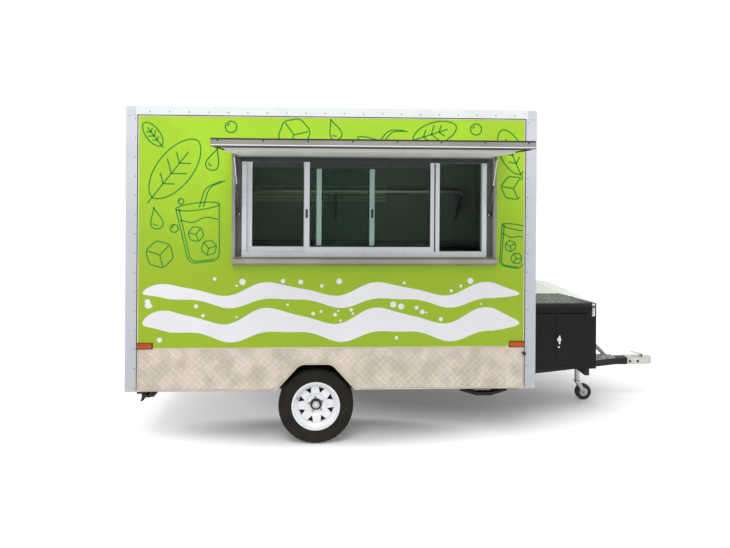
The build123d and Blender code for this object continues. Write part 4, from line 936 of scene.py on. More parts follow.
# Painted shade: a dark tint for strips laid over the window's top rails, where the flap shades them.
HEAD_RAIL_PAINTED_SHADE = Finish(
    "head_rail_painted_shade", "window_alu", srgb(52, 62, 58), srgb(40, 50, 46), roughness=0.3, specular=0.3,
    mottle_size=0.3,
)
SLAT_BOARD = Finish(
    "slat_board", "trim_white", srgb(252, 250, 216), srgb(240, 238, 200), roughness=0.4, mottle_size=0.4,
)
CHASSIS_BLACK = Finish(
    "chassis_paint", "chassis_black", srgb(20, 20, 21), srgb(30, 30, 32), roughness=0.5, specular=0.25,
    grain_size=0.003, grain_depth=0.0001, wear_and_sheen=0.25, bare_and_sheen=srgb(96, 88, 80), dust=0.06,
)
AXLE_BLACK = Finish(
    "axle_paint", "axle_black", srgb(22, 22, 23), srgb(40, 37, 34), roughness=0.6, specular=0.25,
    grain_size=0.004, grain_depth=0.00015, wear_and_sheen=0.3, bare_and_sheen=srgb(110, 84, 66), dust=0.12,
)
LOCKER_BLACK = Finish(
    "locker_paint", "locker_black", srgb(12, 12, 12), srgb(18, 18, 19), roughness=0.42, specular=0.18,
    grain_size=0.002, grain_depth=0.00008, wear_and_sheen=0.2, bare_and_sheen=srgb(110, 108, 104), dust=0.02, dust_high=0.6,
)
LID_TREAD = LidPlate(
    "lid_tread_alu", "lid_tread", srgb(122, 124, 122), srgb(104, 107, 106), roughness=0.42, metallic=0.4,
    mottle_size=0.12, grain_size=0.002, grain_depth=0.00006, wear_and_sheen=0.3, bare_and_sheen=srgb(204, 206, 204),
    rim_colour=srgb(14, 14, 15), rim_height=0.6613, painted_highlight_colour=srgb(244, 245, 244), painted_shade_colour=srgb(40, 42, 42),
)
LID_LOZENGE = LidPlate(
    "lid_lozenge_alu", "lid_tread", srgb(150, 153, 151), srgb(128, 131, 129), roughness=0.36, metallic=0.45,
    mottle_size=0.1, wear_and_sheen=0.3, bare_and_sheen=srgb(212, 214, 212), painted_highlight_colour=srgb(248, 249, 248),
    painted_shade_colour=srgb(60, 62, 62),
)
STEP_ALU = Finish(
    "step_plate_alu", "jack_zinc", srgb(150, 152, 152), srgb(128, 130, 131), roughness=0.4, metallic=0.5,
    mottle_size=0.1, wear_and_sheen=0.3, bare_and_sheen=srgb(204, 206, 204),
)
COUPLER_STEEL = Finish(
    "coupler_plating", "coupler_steel", srgb(206, 207, 202), srgb(186, 187, 183), roughness=0.34,
    metallic=0.6, mottle_size=0.05, grain_size=0.002, grain_depth=0.00005, wear_and_sheen=0.3,
    bare_and_sheen=srgb(228, 227, 222),
)
JACK_ZINC = Finish(
    "jack_plating", "jack_zinc", srgb(196, 198, 200), srgb(164, 166, 170), roughness=0.3, metallic=0.85,
    mottle_size=0.015, wear_and_sheen=0.2, bare_and_sheen=srgb(120, 104, 88), dust=0.3,
)
TYRE_RUBBER = Finish(
    "tyre_side_rubber", "tyre_rubber", srgb(27, 24, 22), srgb(37, 34, 31), roughness=0.72, specular=0.18,
    grain_size=0.002, grain_depth=0.0001, mottle_size=0.08, dust=0.03, dust_low=-0.37, dust_high=-0.2,
)
JACK_RUBBER = Finish(
    "jack_wheel_rubber", "jack_rubber", srgb(26, 26, 27), srgb(38, 37, 36), roughness=0.7, specular=0.25,
    grain_size=0.001, mottle_size=0.03, dust=0.12,
)
RIM_WHITE = Finish(
    "rim_enamel", "rim_white", srgb(246, 247, 250), srgb(236, 238, 242), roughness=0.3, coat=0.3,
    mottle_size=0.12, wear_and_sheen=0.15, bare_and_sheen=srgb(150, 144, 136), dust=0.06, dust_high=0.2,
)
HUB_STEEL = Finish(
    "hub_plating", "hub_steel", srgb(160, 160, 160), srgb(116, 112, 106), roughness=0.35, metallic=0.85,
    mottle_size=0.02, wear_and_sheen=0.3, bare_and_sheen=srgb(196, 192, 186), dust=0.25,
)
LINING_GREY = Finish(
    "lining_board", "lining_grey", srgb(150, 152, 148), srgb(138, 140, 136), roughness=0.5, grain_size=0.006,
)
JAMB_GREY = Finish(
    "jamb_paint", "lining_grey", srgb(150, 150, 146), srgb(134, 134, 130), roughness=0.6, specular=0.25,
    grain_size=0.004,
)
# Painted highlight: the sill's strong wear_and_sheen towards a bright colour paints a highlight along its edges.
SILL_METAL = Finish(
    "sill_bronze", "sill_metal", srgb(158, 152, 144), srgb(140, 134, 126), roughness=0.36, metallic=0.4,
    mottle_size=0.3, wear_and_sheen=0.5, bare_and_sheen=srgb(220, 214, 204),
)
WINDOW_ALU = Finish(
    "window_frame_alu", "window_alu", srgb(222, 226, 230), srgb(213, 217, 221), roughness=0.34,
    metallic=0.1, coat=0.15, mottle_size=0.6, grain_depth=0.00001, wear_and_sheen=0.15, bare_and_sheen=srgb(236, 238, 240),
)
# Also used for the flap's lower line of painted shade.
GASKET_AND_SHADE_BLACK = Finish(
    "gasket_rubber_and_shade", "window_alu", srgb(26, 26, 27), srgb(36, 36, 37), roughness=0.65, grain_size=0.001,
)
PANE_GLASS = SeeThrough(
    "pane_clear", "pane_glass", srgb(214, 230, 222), srgb(208, 226, 217), roughness=0.01, specular=0.3,
    roughness_span=0.01, grain_depth=0.000001, edge_radius=0.0002, refraction=1.12,
)
STRUT_BLACK = Finish(
    "strut_enamel", "strut_black", srgb(26, 26, 28), srgb(38, 38, 40), roughness=0.35, coat=0.3, wear_and_sheen=0.15,
)
ROD_CHROME = Finish(
    "rod_plating", "rod_chrome", srgb(210, 212, 214), srgb(186, 188, 192), roughness=0.12, metallic=1.0,
    roughness_span=0.06,
)
LAMP_AMBER = Lens(
    "marker_lens", "lamp_amber", srgb(206, 92, 26), srgb(186, 76, 20), roughness=0.24, transmission=0.2,
    glow=0.06, specular=0.3,
)
LAMP_RED = Lens(
    "tail_lens", "lamp_red", srgb(196, 26, 24), srgb(170, 16, 16), roughness=0.16, transmission=0.3,
    glow=0.12,
)
# Also used for the black disc of painted shade behind the rims' windows.
KNOB_AND_SHADE_BLACK = Finish(
    "knob_plastic_and_shade", "knob_black", srgb(28, 28, 29), srgb(42, 42, 43), roughness=0.45, grain_size=0.001,
)
BENCH_STEEL = Finish(
    "bench_steel", "worktop_steel", srgb(168, 170, 172), srgb(140, 142, 146), roughness=0.28,
    metallic=0.9, grain_stretch=(0.03, 1.0, 1.0), grain_depth=0.00003, wear_and_sheen=0.15,
)
SHELF_STEEL = Finish(
    "shelf_paint", "shelf_steel", srgb(196, 198, 198), srgb(176, 178, 178), roughness=0.35, metallic=0.6,
)
FLOOR_PLY = Plywood(
    "floor_board", "floor_ply", srgb(128, 98, 66), srgb(96, 70, 44), roughness=0.6, grain_size=0.004,
    grain_depth=0.0001,
)
HANDLE_CHROME = Finish(
    "handle_plating", "handle_chrome", srgb(214, 215, 216), srgb(190, 191, 194), roughness=0.14,
    metallic=1.0, mottle_size=0.01, wear_and_sheen=0.1, bare_and_sheen=srgb(140, 132, 122),
)
FLAP_EDGE = Finish(
    "flap_edge_alu", "trim_white", srgb(151, 148, 140), srgb(139, 136, 128), roughness=0.36, metallic=0.2,
    mottle_size=0.5, grain_depth=0.00001, wear_and_sheen=0.3, bare_and_sheen=srgb(224, 221, 216),
)
PRINT_DARK = Finish(
    "print_dark_green", "panel_green", srgb(24, 132, 46), srgb(30, 140, 50), roughness=0.4, specular=0.3,
    grain_depth=0.00002, grain_size=0.004, mottle_size=0.3,
)
# Also used for the flap's painted highlight.
PRINT_AND_HIGHLIGHT_WHITE = Finish(
    "print_and_highlight_white", "panel_white", srgb(232, 232, 236), srgb(226, 226, 232), roughness=0.4, specular=0.3,
    grain_depth=0.00002, grain_size=0.004, mottle_size=0.4,
)


# The room around the object


@dataclass(frozen=True)
class ViewFinder:
    """The camera of the photograph, solved from the places of known corners of the trailer.

    The image plane is the photograph's frame. Its horizon stands above the middle of the frame, which
    is a shift of the lens and not a tilt, because the trailer's upright edges are parallel there.
    """

    place: tuple[float, float, float] = (-3.018, -5.877, 1.687)
    yaw: float = 2.733
    roll: float = 0.375
    focal_pixels: float = 622.6
    rise_pixels: float = -90.5
    frame_width: int = 730
    sensor: float = 36.0

    def build(self) -> bpy.types.Object:
        """Makes the camera: its axes are the level view turned by the yaw, then by the roll."""
        yaw, roll = math.radians(self.yaw), math.radians(self.roll)
        ahead = np.array([math.sin(yaw), math.cos(yaw), 0.0])
        right = np.array([math.cos(yaw), -math.sin(yaw), 0.0])
        rise = np.array([0.0, 0.0, 1.0])
        across = right * math.cos(roll) + rise * math.sin(roll)
        upward = -right * math.sin(roll) + rise * math.cos(roll)
        data = bpy.data.cameras.new("photo_camera")
        data.sensor_width = self.sensor
        data.lens = self.focal_pixels / self.frame_width * self.sensor
        data.shift_y = self.rise_pixels / self.frame_width
        data.clip_end = 200.0
        camera = bpy.data.objects.new("photo_camera", data)
        bpy.context.scene.collection.objects.link(camera)
        matrix = np.eye(4)
        matrix[:3, 0], matrix[:3, 1], matrix[:3, 2], matrix[:3, 3] = across, upward, -ahead, self.place
        camera.matrix_world = Matrix(matrix.tolist())
        bpy.context.scene.camera = camera
        return camera


@dataclass(frozen=True)
class Studio:
    """A white room: a pale floor that keeps the cast shadow and has a painted shadow below the box, even light
    from all round and a soft key.
    """

    sky_strength: float = 0.76
    key_power: float = 590.0
    key_size: float = 6.5
    key_place: tuple[float, float, float] = (-4.3, -7.4, 9.8)
    key_target: tuple[float, float, float] = (-2.8, 0.0, 0.9)
    floor_half: float = 60.0
    floor_glow: float = 0.45
    shade_glow: float = 0.10
    shade_reach: tuple[float, float] = (0.4, 1.05)
    shade_ovals: tuple[tuple[float, float, float, float], ...] = (
        (-1.65, 0.4, 2.4, 1.35), (-3.05, -0.7, 1.5, 0.4),
    )

    def sky(self) -> None:
        """The world: plain white, at full strength where the camera or a mirror sees it."""
        world = bpy.data.worlds.new("white_room")
        world.use_nodes = True
        world.node_tree.nodes.clear()
        graph = Graph(world.node_tree)
        strength = graph.span(graph.seen(), 0.0, 1.0, self.sky_strength, 1.0)
        back = graph.add("Background", {"Color": (1.0, 1.0, 1.0), "Strength": strength})
        graph.add("OutputWorld", {"Surface": back.outputs[0]})
        bpy.context.scene.world = world

    def floor(self) -> None:
        """The floor: one wide white square under the wheels, whose glow sinks in two ovals below the box as a
        painted shadow.
        """
        low = min(extent(node).low[2] for node in ("tyre_near", "tyre_far", "jack_wheel")) - SEAT_LIFT
        half = self.floor_half
        corners = np.array([(-half, -half, low), (half, -half, low), (half, half, low), (-half, half, low)])
        mesh = bpy.data.meshes.new("room_floor")
        mesh.from_pydata(corners.tolist(), [], [(0, 1, 2, 3)])
        surface = bpy.data.materials.new("room_floor_white")
        surface.use_nodes = True
        surface.node_tree.nodes.clear()
        graph = Graph(surface.node_tree)
        parts = graph.add("SeparateXYZ", {0: graph.add("TexCoord").outputs["Object"]}).outputs
        away = [
            graph.maths("SQRT", graph.maths("ADD", *(
                graph.maths("POWER", graph.maths("DIVIDE", graph.maths("SUBTRACT", part, middle), half), 2.0)
                for part, middle, half in ((parts["X"], x, half_x), (parts["Y"], y, half_y))
            )))
            for x, y, half_x, half_y in self.shade_ovals
        ]
        # Painted shadow: the glow falls to shade_glow inside the ovals and rises to floor_glow beyond them.
        glow = graph.span(graph.maths("MINIMUM", *away), *self.shade_reach, self.shade_glow, self.floor_glow)
        shader = graph.add("BsdfPrincipled", {
            "Base Color": srgb(242, 242, 242), "Roughness": 0.9, "Specular IOR Level": 0.0,
            "Emission Color": (1.0, 1.0, 1.0), "Emission Strength": graph.maths("MULTIPLY", graph.seen(), glow),
        })
        graph.add("OutputMaterial", {"Surface": shader.outputs["BSDF"]})
        mesh.materials.append(surface)
        ground = bpy.data.objects.new("room_floor", mesh)
        bpy.context.scene.collection.objects.link(ground)

    def key(self) -> None:
        """The soft lamp, above and to the left of the camera."""
        data = bpy.data.lights.new("key_lamp", "AREA")
        data.energy, data.size = self.key_power, self.key_size
        lamp = bpy.data.objects.new("key_lamp", data)
        bpy.context.scene.collection.objects.link(lamp)
        back = np.array(self.key_place) - np.array(self.key_target)
        back /= np.linalg.norm(back)
        across = np.cross([0.0, 0.0, 1.0], back)
        across /= np.linalg.norm(across)
        matrix = np.eye(4)
        matrix[:3, 0], matrix[:3, 1], matrix[:3, 2] = across, np.cross(back, across), back
        matrix[:3, 3] = self.key_place
        lamp.matrix_world = Matrix(matrix.tolist())

    def build(self) -> None:
        """Sets up the sky, the floor, the lamp and the plain way that colours are shown."""
        self.sky()
        self.floor()
        self.key()
        bpy.context.scene.view_settings.view_transform = "Standard"


# Sub-assemblies


class Side(Enum):
    """The two long sides of the trailer, with the way each one looks."""

    NEAR = -1
    FAR = 1

    @property
    def facing(self) -> Array:
        """The turn that lays a shape against this side, with its X along the trailer."""
        return facing("-y" if self is Side.NEAR else "y")

    @property
    def label(self) -> str:
        """The side's name in the names of pieces."""
        return self.name.lower()


def on_side(x: Array, z: Array, y: float) -> Array:
    """Places on a long side, as rows of x, y and z."""
    x, z = np.broadcast_arrays(np.asarray(x, float), np.asarray(z, float))
    return np.column_stack([x.ravel(), np.full(x.size, y), z.ravel()])


def spaced(start: float, end: float, pitch: float) -> Array:
    """Evenly spaced places from start to end, at about the given pitch."""
    count = max(2, round(abs(end - start) / pitch) + 1)
    return np.linspace(start, end, count)


@dataclass
class BoxTrim:
    """What is fastened on and beside the white trims: rivets, corner caps, dark gaps and a sealant line."""

    rivet_radius: float = 0.0055
    rivet_height: float = 0.003
    rivet_pitch: float = 0.15
    rivet_inset: float = 0.018
    rivet_margin: float = 0.03
    roof_rise: float = 0.024
    gap_width: float = 0.005
    gap_proud: float = 0.0042
    gap_sunk: float = 0.002
    gap_foot: float = 0.004
    gap_bevel: float = 0.0006
    bead_width: float = 0.009
    bead_height: float = 0.003
    corner_round: float = 0.012
    cap_size: float = 0.07
    cap_height: float = 0.0025
    cap_inset: float = 0.002

    def rivet_rows(self) -> list[tuple[str, Array]]:
        """Rows of rivets down the inner edge of each trim and along the roof trim, each with its face."""
        trims, roof = extent("corner_trims"), extent("roof_trim")
        margin = self.rivet_margin
        ups = spaced(trims.low[2] + margin, trims.high[2] - margin, self.rivet_pitch)
        along = spaced(roof.low[0] + margin, roof.high[0] - margin, self.rivet_pitch)
        reach = (trims.size[0] - extent("wall_near").size[0]) / 2 + TRIM_WIDTH - self.rivet_inset
        rows = []
        for face, y, roof_y in (("-y", trims.low[1], roof.low[1]), ("y", trims.high[1], roof.high[1])):
            rows += [(face, on_side(x, ups, y)) for x in (trims.low[0] + reach, trims.high[0] - reach)]
            rows.append((face, on_side(along, roof.low[2] + self.roof_rise, roof_y)))
        for face, x in (("-x", trims.low[0]), ("x", trims.high[0])):
            rows += [(face, on_side(x, ups, y)) for y in (trims.low[1] + reach, trims.high[1] - reach)]
        return rows

    def build_rivets(self) -> None:
        """All the rivets as one piece."""
        head = dome(self.rivet_radius, self.rivet_height, 3, 8)
        rivets = [head.moved(facing(face)).repeated(row) for face, row in self.rivet_rows()]
        make_object("trim_rivets", joined(rivets), RIVET_ALU)

    def build_beads(self) -> None:
        """A dark gap along the trims' inner edges and a cream line of sealant round the panel."""
        trims, roof, skirts = extent("corner_trims"), extent("roof_trim"), extent("tread_skirts")
        left, right, top = trims.low[0] + TRIM_WIDTH, trims.high[0] - TRIM_WIDTH, roof.low[2]
        gap, half, foot = self.gap_width, self.bead_width / 2, trims.low[2] + self.gap_foot
        path = rounded_path(rectangle(
            (left + gap + half, skirts.high[2] + half), (right - gap - half, top - gap - half),
        ), self.corner_round)
        profile = circle(1.0, 8) * (half, self.bead_height)
        gaps, beads = [], []
        for wall, way in ((extent("wall_near").low[1], -1.0), (extent("wall_far").high[1], 1.0)):
            beads.append(swept(stood(path, wall), profile, (0.0, way, 0.0), closed=True))
            back, front = wall - way * self.gap_sunk, wall + way * self.gap_proud
            for start, end, low in (
                (left, left + gap, foot), (right, right - gap, foot), (left + gap, right - gap, top - gap),
            ):
                gaps.append(bar_between((start, back, low), (end, front, top), self.gap_bevel))
        make_object("panel_gaps", joined(gaps), GASKET_AND_SHADE_BLACK, slot="trim_white")
        make_object("panel_beads", joined(beads), BEAD_CREAM)

    def build_caps(self) -> None:
        """Square plates over the meeting of the roof trim and each corner trim."""
        roof, half = extent("roof_trim"), self.cap_size / 2
        outline = rounded_path(rectangle((-half, -half), (half, half)), self.corner_round)
        plate, inset = prism(outline, self.cap_height, 0.001), half + self.cap_inset
        caps = [
            plate.moved(facing(face), (x, y, roof.high[2] - inset))
            for x in (roof.low[0] + inset, roof.high[0] - inset)
            for face, y in (("-y", roof.low[1]), ("y", roof.high[1]))
        ]
        make_object("corner_caps", joined(caps), TRIM_WHITE)

    def build(self) -> None:
        """Dresses the trims."""
        self.build_rivets()
        self.build_beads()
        self.build_caps()


@dataclass
class TreadSkirts:
    """Diamond plate on the lower walls: raised lozenges in two slants, and a bead along its folded edge."""

    lozenge_length: float = 0.047
    lozenge_width: float = 0.011
    lozenge_height: float = 0.0024
    lozenge_point: float = 0.3
    lozenge_top: float = 0.72
    lozenge_crown: float = 1.1
    pitch: float = 0.056
    slant: float = 45.0
    margin: float = 0.030
    arch_margin: float = 0.9
    bead_width: float = 0.013
    bead_half: float = 0.32
    bead_height: float = 0.0024
    shadow_height: float = 0.0008
    edge_inset: float = 0.001
    edge_top: float = 0.002
    edge_round: float = 0.05
    gap: float = 0.005
    arch_top: float = 0.268
    arch_half_top: float = 0.124
    arch_half_bottom: float = 0.305

    def arch_half_at(self, z: Array) -> Array:
        """Half the width of the wheel arch at a height: straight from its foot to its top."""
        skirt = extent("tread_skirts")
        share = np.clip((z - skirt.low[2]) / (self.arch_top - skirt.low[2]), 0, 1)
        half = self.arch_half_bottom + (self.arch_half_top - self.arch_half_bottom) * share
        return np.where(z > self.arch_top, -1.0, half)

    def ends(self, inset: float) -> tuple[float, float]:
        """Two places in X, an inset away from the ends of the skirt at the upright trims."""
        trims, inset = extent("corner_trims"), TRIM_WIDTH + self.gap + inset
        return trims.low[0] + inset, trims.high[0] - inset

    def lozenge(self) -> Shape:
        """One lozenge: its outline is a pointed oval, and its upper ring is a smaller one."""
        angle = np.linspace(0, 2 * math.pi, 9)[:-1]
        pointed = np.sin(angle) * np.abs(np.sin(angle)) ** self.lozenge_point
        outline = np.column_stack([np.cos(angle) * self.lozenge_length, pointed * self.lozenge_width]) / 2
        rings = np.stack([
            np.column_stack([outline * scale, np.full(len(outline), height)])
            for scale, height in ((1.0, 0.0), (self.lozenge_top, self.lozenge_height))
        ])
        side = grid_shape(rings, wrap_columns=True).flipped()
        return joined([side, fan(rings[-1], np.array([0.0, 0.0, self.lozenge_height * self.lozenge_crown]))])

    def field(self, low: Array, high: Array, keep: Callable[[Array, Array], Array]) -> tuple[Array, Array]:
        """Places and slants of lozenges: two grids half a pitch apart, slanting opposite ways.

        Args:
            low: the lowest place in X and Y of the plate.
            high: the highest one.
            keep: takes the places' two parts and gives which of them stay.

        Returns:
            The places, n by 2, and the angles of the slants.
        """
        places, angles = [], []
        for offset, angle in ((0.0, self.slant), (self.pitch / 2, -self.slant)):
            across = np.arange(low[0] + offset, high[0], self.pitch)
            up = np.arange(low[1] + offset, high[1], self.pitch)
            grid = np.stack(np.meshgrid(across, up), axis=-1).reshape(-1, 2)
            grid = grid[keep(grid[:, 0], grid[:, 1])]
            places.append(grid)
            angles.append(np.full(len(grid), math.radians(angle)))
        return np.concatenate(places), np.concatenate(angles)

    def stamp(self, label: str, places: Array, angles: Array, turn: Array, offset: Sequence[float]) -> None:
        """Makes one skirt's lozenges: drawn flat, each turned by its angle, then stood up on the skirt.

        Args:
            label: the skirt's name.
            places: n by 2 points in the drawing.
            angles: the slants.
            turn: the new axes of the drawing; where they are mirrored, the faces are turned back.
            offset: where the drawing's origin goes.
        """
        c, s, o = np.cos(angles), np.sin(angles), np.zeros(len(angles))
        turns = np.stack([np.stack(row, -1) for row in ((c, s, o), (-s, c, o), (o, o, o + 1))], axis=1)
        shape = self.lozenge().repeated(np.column_stack([places, o]), turns).moved(turn, offset)
        shape = shape if np.linalg.det(turn) > 0 else shape.flipped()
        make_object(f"tread_lozenges_{label}", shape, LOZENGE_ALU)
        log.info("%s skirt: %d lozenges", label, len(places))

    def build_side(self, side: Side) -> None:
        """Dresses one side's skirt."""
        skirt, axle = extent("tread_skirts"), extent("axle_beam").middle[0]
        face_y = skirt.low[1] if side is Side.NEAR else skirt.high[1]
        left, right = self.ends(self.margin)

        def off_arch(x: Array, z: Array) -> Array:
            """Places at least a margin away from the arch's edge."""
            return np.abs(x - axle) > self.arch_half_at(z - self.margin) + self.margin * self.arch_margin

        low, high = (left, skirt.low[2] + self.margin), (right, skirt.high[2] - self.margin)
        places, angles = self.field(low, high, off_arch)
        turn = np.array([[1.0, 0.0, 0.0], [0.0, 0.0, 1.0], [0.0, side.value, 0.0]])
        self.stamp(side.label, places, angles, turn, (0.0, face_y, 0.0))
        self.build_edges(side, face_y, axle)

    def build_edges(self, side: Side, face_y: float, axle: float) -> None:
        """The folded edge strip down the skirt's ends, along its foot and round its arch."""
        skirt = extent("tread_skirts")
        inset = self.bead_width / 2 + self.edge_inset
        left, right = self.ends(inset)
        bottom, top, crown = skirt.low[2] + inset, skirt.high[2] - self.edge_top, self.arch_top + inset
        foot_half, top_half = self.arch_half_bottom + inset, self.arch_half_top + inset * 0.6
        path = rounded_path(np.array([
            (left, top), (left, bottom), (axle - foot_half, bottom), (axle - top_half, crown),
            (axle + top_half, crown), (axle + foot_half, bottom), (right, bottom), (right, top),
        ]), self.edge_round, closed=False)
        for name, finish, half, height in (
            ("skirt_shadow", SKIRT_SHADOW, self.bead_width / 2, self.shadow_height),
            ("skirt_bead", BEAD_CREAM, self.bead_width * self.bead_half, self.bead_height),
        ):
            strip = swept(stood(path, face_y), circle(1.0, 8) * (half, height), (0.0, side.value, 0.0))
            make_object(f"{name}_{side.label}", strip, finish, slot="tread_plate")

    def build_end(self, label: str, x: float, way: int, taken: Sequence[Extent]) -> None:
        """Dresses one end's skirt.

        Args:
            label: the end's name.
            x: where the plate's face is.
            way: which way along X the face looks.
            taken: boxes of what stands before the plate and stays clear.
        """
        plate = min(solids("tread_skirts"), key=lambda box: abs(box.middle[0] - x))

        def clear(y: Array, z: Array) -> Array:
            """Places that are off every taken box by a margin."""
            spots = np.column_stack([y, z])
            near = [
                (spots > box.low[1:] - self.margin) & (spots < box.high[1:] + self.margin) for box in taken
            ]
            return ~np.any([both.all(axis=1) for both in near], axis=0)

        places, angles = self.field(plate.low[1:] + self.margin, plate.high[1:] - self.margin, clear)
        turn = np.array([[0.0, 1.0, 0.0], [0.0, 0.0, 1.0], [way, 0.0, 0.0]])
        self.stamp(label, places, angles, turn, (x, 0.0, 0.0))

    def build(self) -> None:
        """Dresses the skirts of both sides and both ends."""
        for side in Side:
            self.build_side(side)
        skirt, locker = extent("tread_skirts"), extent("locker_shell")
        things = [extent(node) for node in ("rear_door", "rear_door_hinges", "plate_holder")]
        self.build_end("rear", skirt.low[0], -1, [*things, *solids("tail_lamps")])
        above_floor = Extent(locker.low * (1, 1, 0), locker.high)
        self.build_end("front", skirt.high[0], 1, [above_floor])


@dataclass
class WheelSet:
    """What the two wheels carry beyond their packed forms: treaded tyres, nuts, valves and caps.

    In a turned piece's profile, each row is a distance along the axle from the piece's face and a
    radius. A face is a distance from the middle of the trailer.
    """

    section_steps: int = 160
    bead_radius: float = 0.192
    side_rows: Rows = ((0.012, 0.0), (0.004, 0.006), (0.0015, 0.022), (0.0005, 0.040), (0.0002, 0.055))
    shoulder_rows: Rows = ((0.002, 0.036), (0.006, 0.022), (0.012, 0.012), (0.020, 0.006), (0.030, 0.0028))
    groove_centre: float = 0.036
    groove_half: tuple[float, float] = (0.0055, 0.004)
    groove_edge: float = 0.0008
    groove_depth: float = 0.007
    inner_seat: tuple[float, float] = (0.016, 0.008)
    sipe_start: tuple[float, float] = (0.045, 0.014)
    sipe_every: int = 4
    sipe_depth: float = 0.002
    lugs: int = 5
    lug_circle: float = 0.05715
    lug_phase: float = 26.0
    nut_radius: float = 0.0105
    nut_height: float = 0.016
    nut_base: tuple[float, float] = (0.014175, 0.003)
    disc_face: float = 0.895
    valve_circle: float = 0.154
    valve_face: float = 0.905
    valve_turn: float = 161.0
    valve_rows: Rows = (
        (0.0, 0.0), (0.0, 0.006), (0.006, 0.005), (0.010, 0.0035), (0.030, 0.0032), (0.034, 0.0),
    )
    # The first round is a black disc of painted shade seen through the rim's windows; the second is the rim's
    # seam.
    rounds: tuple = (
        ("rim_window_shade", KNOB_AND_SHADE_BLACK, 0.872, 40, ((0.0, 0.076), (0.002, 0.076), (0.002, 0.145), (0.0, 0.145))),
        ("rim_seam", HUB_STEEL, 0.8965, 64, ((0.0, 0.1515), (0.0012, 0.1525), (0.0012, 0.1545), (0.0, 0.1555))),
    )
    collar_face: float = 0.9052
    collar_radius: float = 0.047
    collar_height: float = 0.0015
    cap_rows: Rows = ((0.0, 0.0285), (0.019, 0.0285), (0.0235, 0.024), (0.0252, 0.012), (0.0255, 0.0))

    def tyre_profile(self, tyre: Extent) -> Array:
        """The tyre's section as (distance across, radius): tread, shoulders, bulged sides and beads.

        One half runs from the bead to the middle groove and is mirrored; two points close it inside.
        """
        outer, half = tyre.size[0] / 2, tyre.size[1] / 2
        edge, bottom = outer - self.groove_edge, outer - self.groove_depth
        centre, (wide, narrow) = self.groove_centre, self.groove_half
        right = np.array([
            *((half - inset, self.bead_radius + rise) for inset, rise in self.side_rows),
            *((half - inset, outer - drop) for inset, drop in self.shoulder_rows),
            (centre + wide, edge), (centre + narrow, bottom), (centre - narrow, bottom), (centre - wide, edge),
            (wide, edge), (narrow, bottom),
        ])
        across, down = half - self.inner_seat[0], self.bead_radius - self.inner_seat[1]
        return np.concatenate([right, right[::-1] * (-1, 1), [(-across, down), (across, down)]])[::-1]

    def build_tyre(self, side: Side) -> None:
        """The tyre, with sipes cut into its shoulders: the radius drops at every fourth step round it."""
        node = f"tyre_{side.label}"
        tyre = extent(node)
        shape = lathe(self.tyre_profile(tyre), self.section_steps, closed_profile=True)
        points = shape.points.copy()
        radius = np.hypot(points[:, 0], points[:, 1])
        step = np.repeat(np.arange(self.section_steps), len(points) // self.section_steps)
        across, down = self.sipe_start
        shoulder = (np.abs(points[:, 2]) > across) & (radius > tyre.size[0] / 2 - down)
        low = shoulder & (step % self.sipe_every == 0)
        points[low, :2] *= ((radius[low] - self.sipe_depth) / radius[low])[:, None]
        shape = Shape(points, shape.quads, shape.tris).moved(facing("y"), tyre.middle)
        name = f"treaded_tyre_{side.label}"
        piece = make_object(name, shape, TYRE_RUBBER, f"wheel_{side.label}", smooth_angle=28.0)
        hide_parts(node)

    def build_fittings(self, side: Side) -> None:
        """Lug nuts, the valve, a black disc of painted shade behind the rim's windows, and the round covers over
        the rim's seam and the hub.
        """
        rim = extent(f"rim_{side.label}").middle

        def spots(face: float, reach: float = 0.0, turns: object = 0.0) -> Array:
            """Places about the axle, at a face and by a radius and turns in degrees."""
            angle = np.radians(np.atleast_1d(turns))
            flat = np.column_stack([rim[0] + np.cos(angle) * reach, rim[2] + np.sin(angle) * reach])
            return stood(flat, side.value * face)

        def fit(name: str, shape: Shape, finish: Finish, places: Array, slot: str = "hub_steel") -> None:
            """Puts copies of a shape on the wheel as one piece."""
            shape = shape.moved(side.facing).repeated(places)
            make_object(f"{name}_{side.label}", shape, finish, f"wheel_{side.label}", slot)

        base_radius, base_height = self.nut_base
        nut = joined([
            prism(circle(self.nut_radius, 6), self.nut_height, 0.002),
            prism(circle(base_radius, 16), base_height, 0.001),
        ])
        turns = -side.value * (np.arange(self.lugs) * 360 / self.lugs + self.lug_phase)
        fit("lug_nuts", nut, HANDLE_CHROME, spots(self.disc_face + SEAT_LIFT, self.lug_circle, turns))
        valve_spot = spots(self.valve_face, self.valve_circle, self.valve_turn)
        fit("valve", lathe(np.array(self.valve_rows), 12), GASKET_AND_SHADE_BLACK, valve_spot, "jack_rubber")
        for name, finish, face, steps, rows in self.rounds:
            fit(name, lathe(np.array(rows), steps, closed_profile=True).flipped(), finish, spots(face))
        collar = prism(circle(self.collar_radius, 32), self.collar_height, self.collar_height / 3)
        fit("hub_collar", collar, KNOB_AND_SHADE_BLACK, spots(self.collar_face))
        fit("hub_cap", lathe(np.array(self.cap_rows), 32), HANDLE_CHROME, spots(self.collar_face))

    def build(self) -> None:
        """Makes both wheels' pieces."""
        for side in Side:
            self.build_tyre(side)
            self.build_fittings(side)


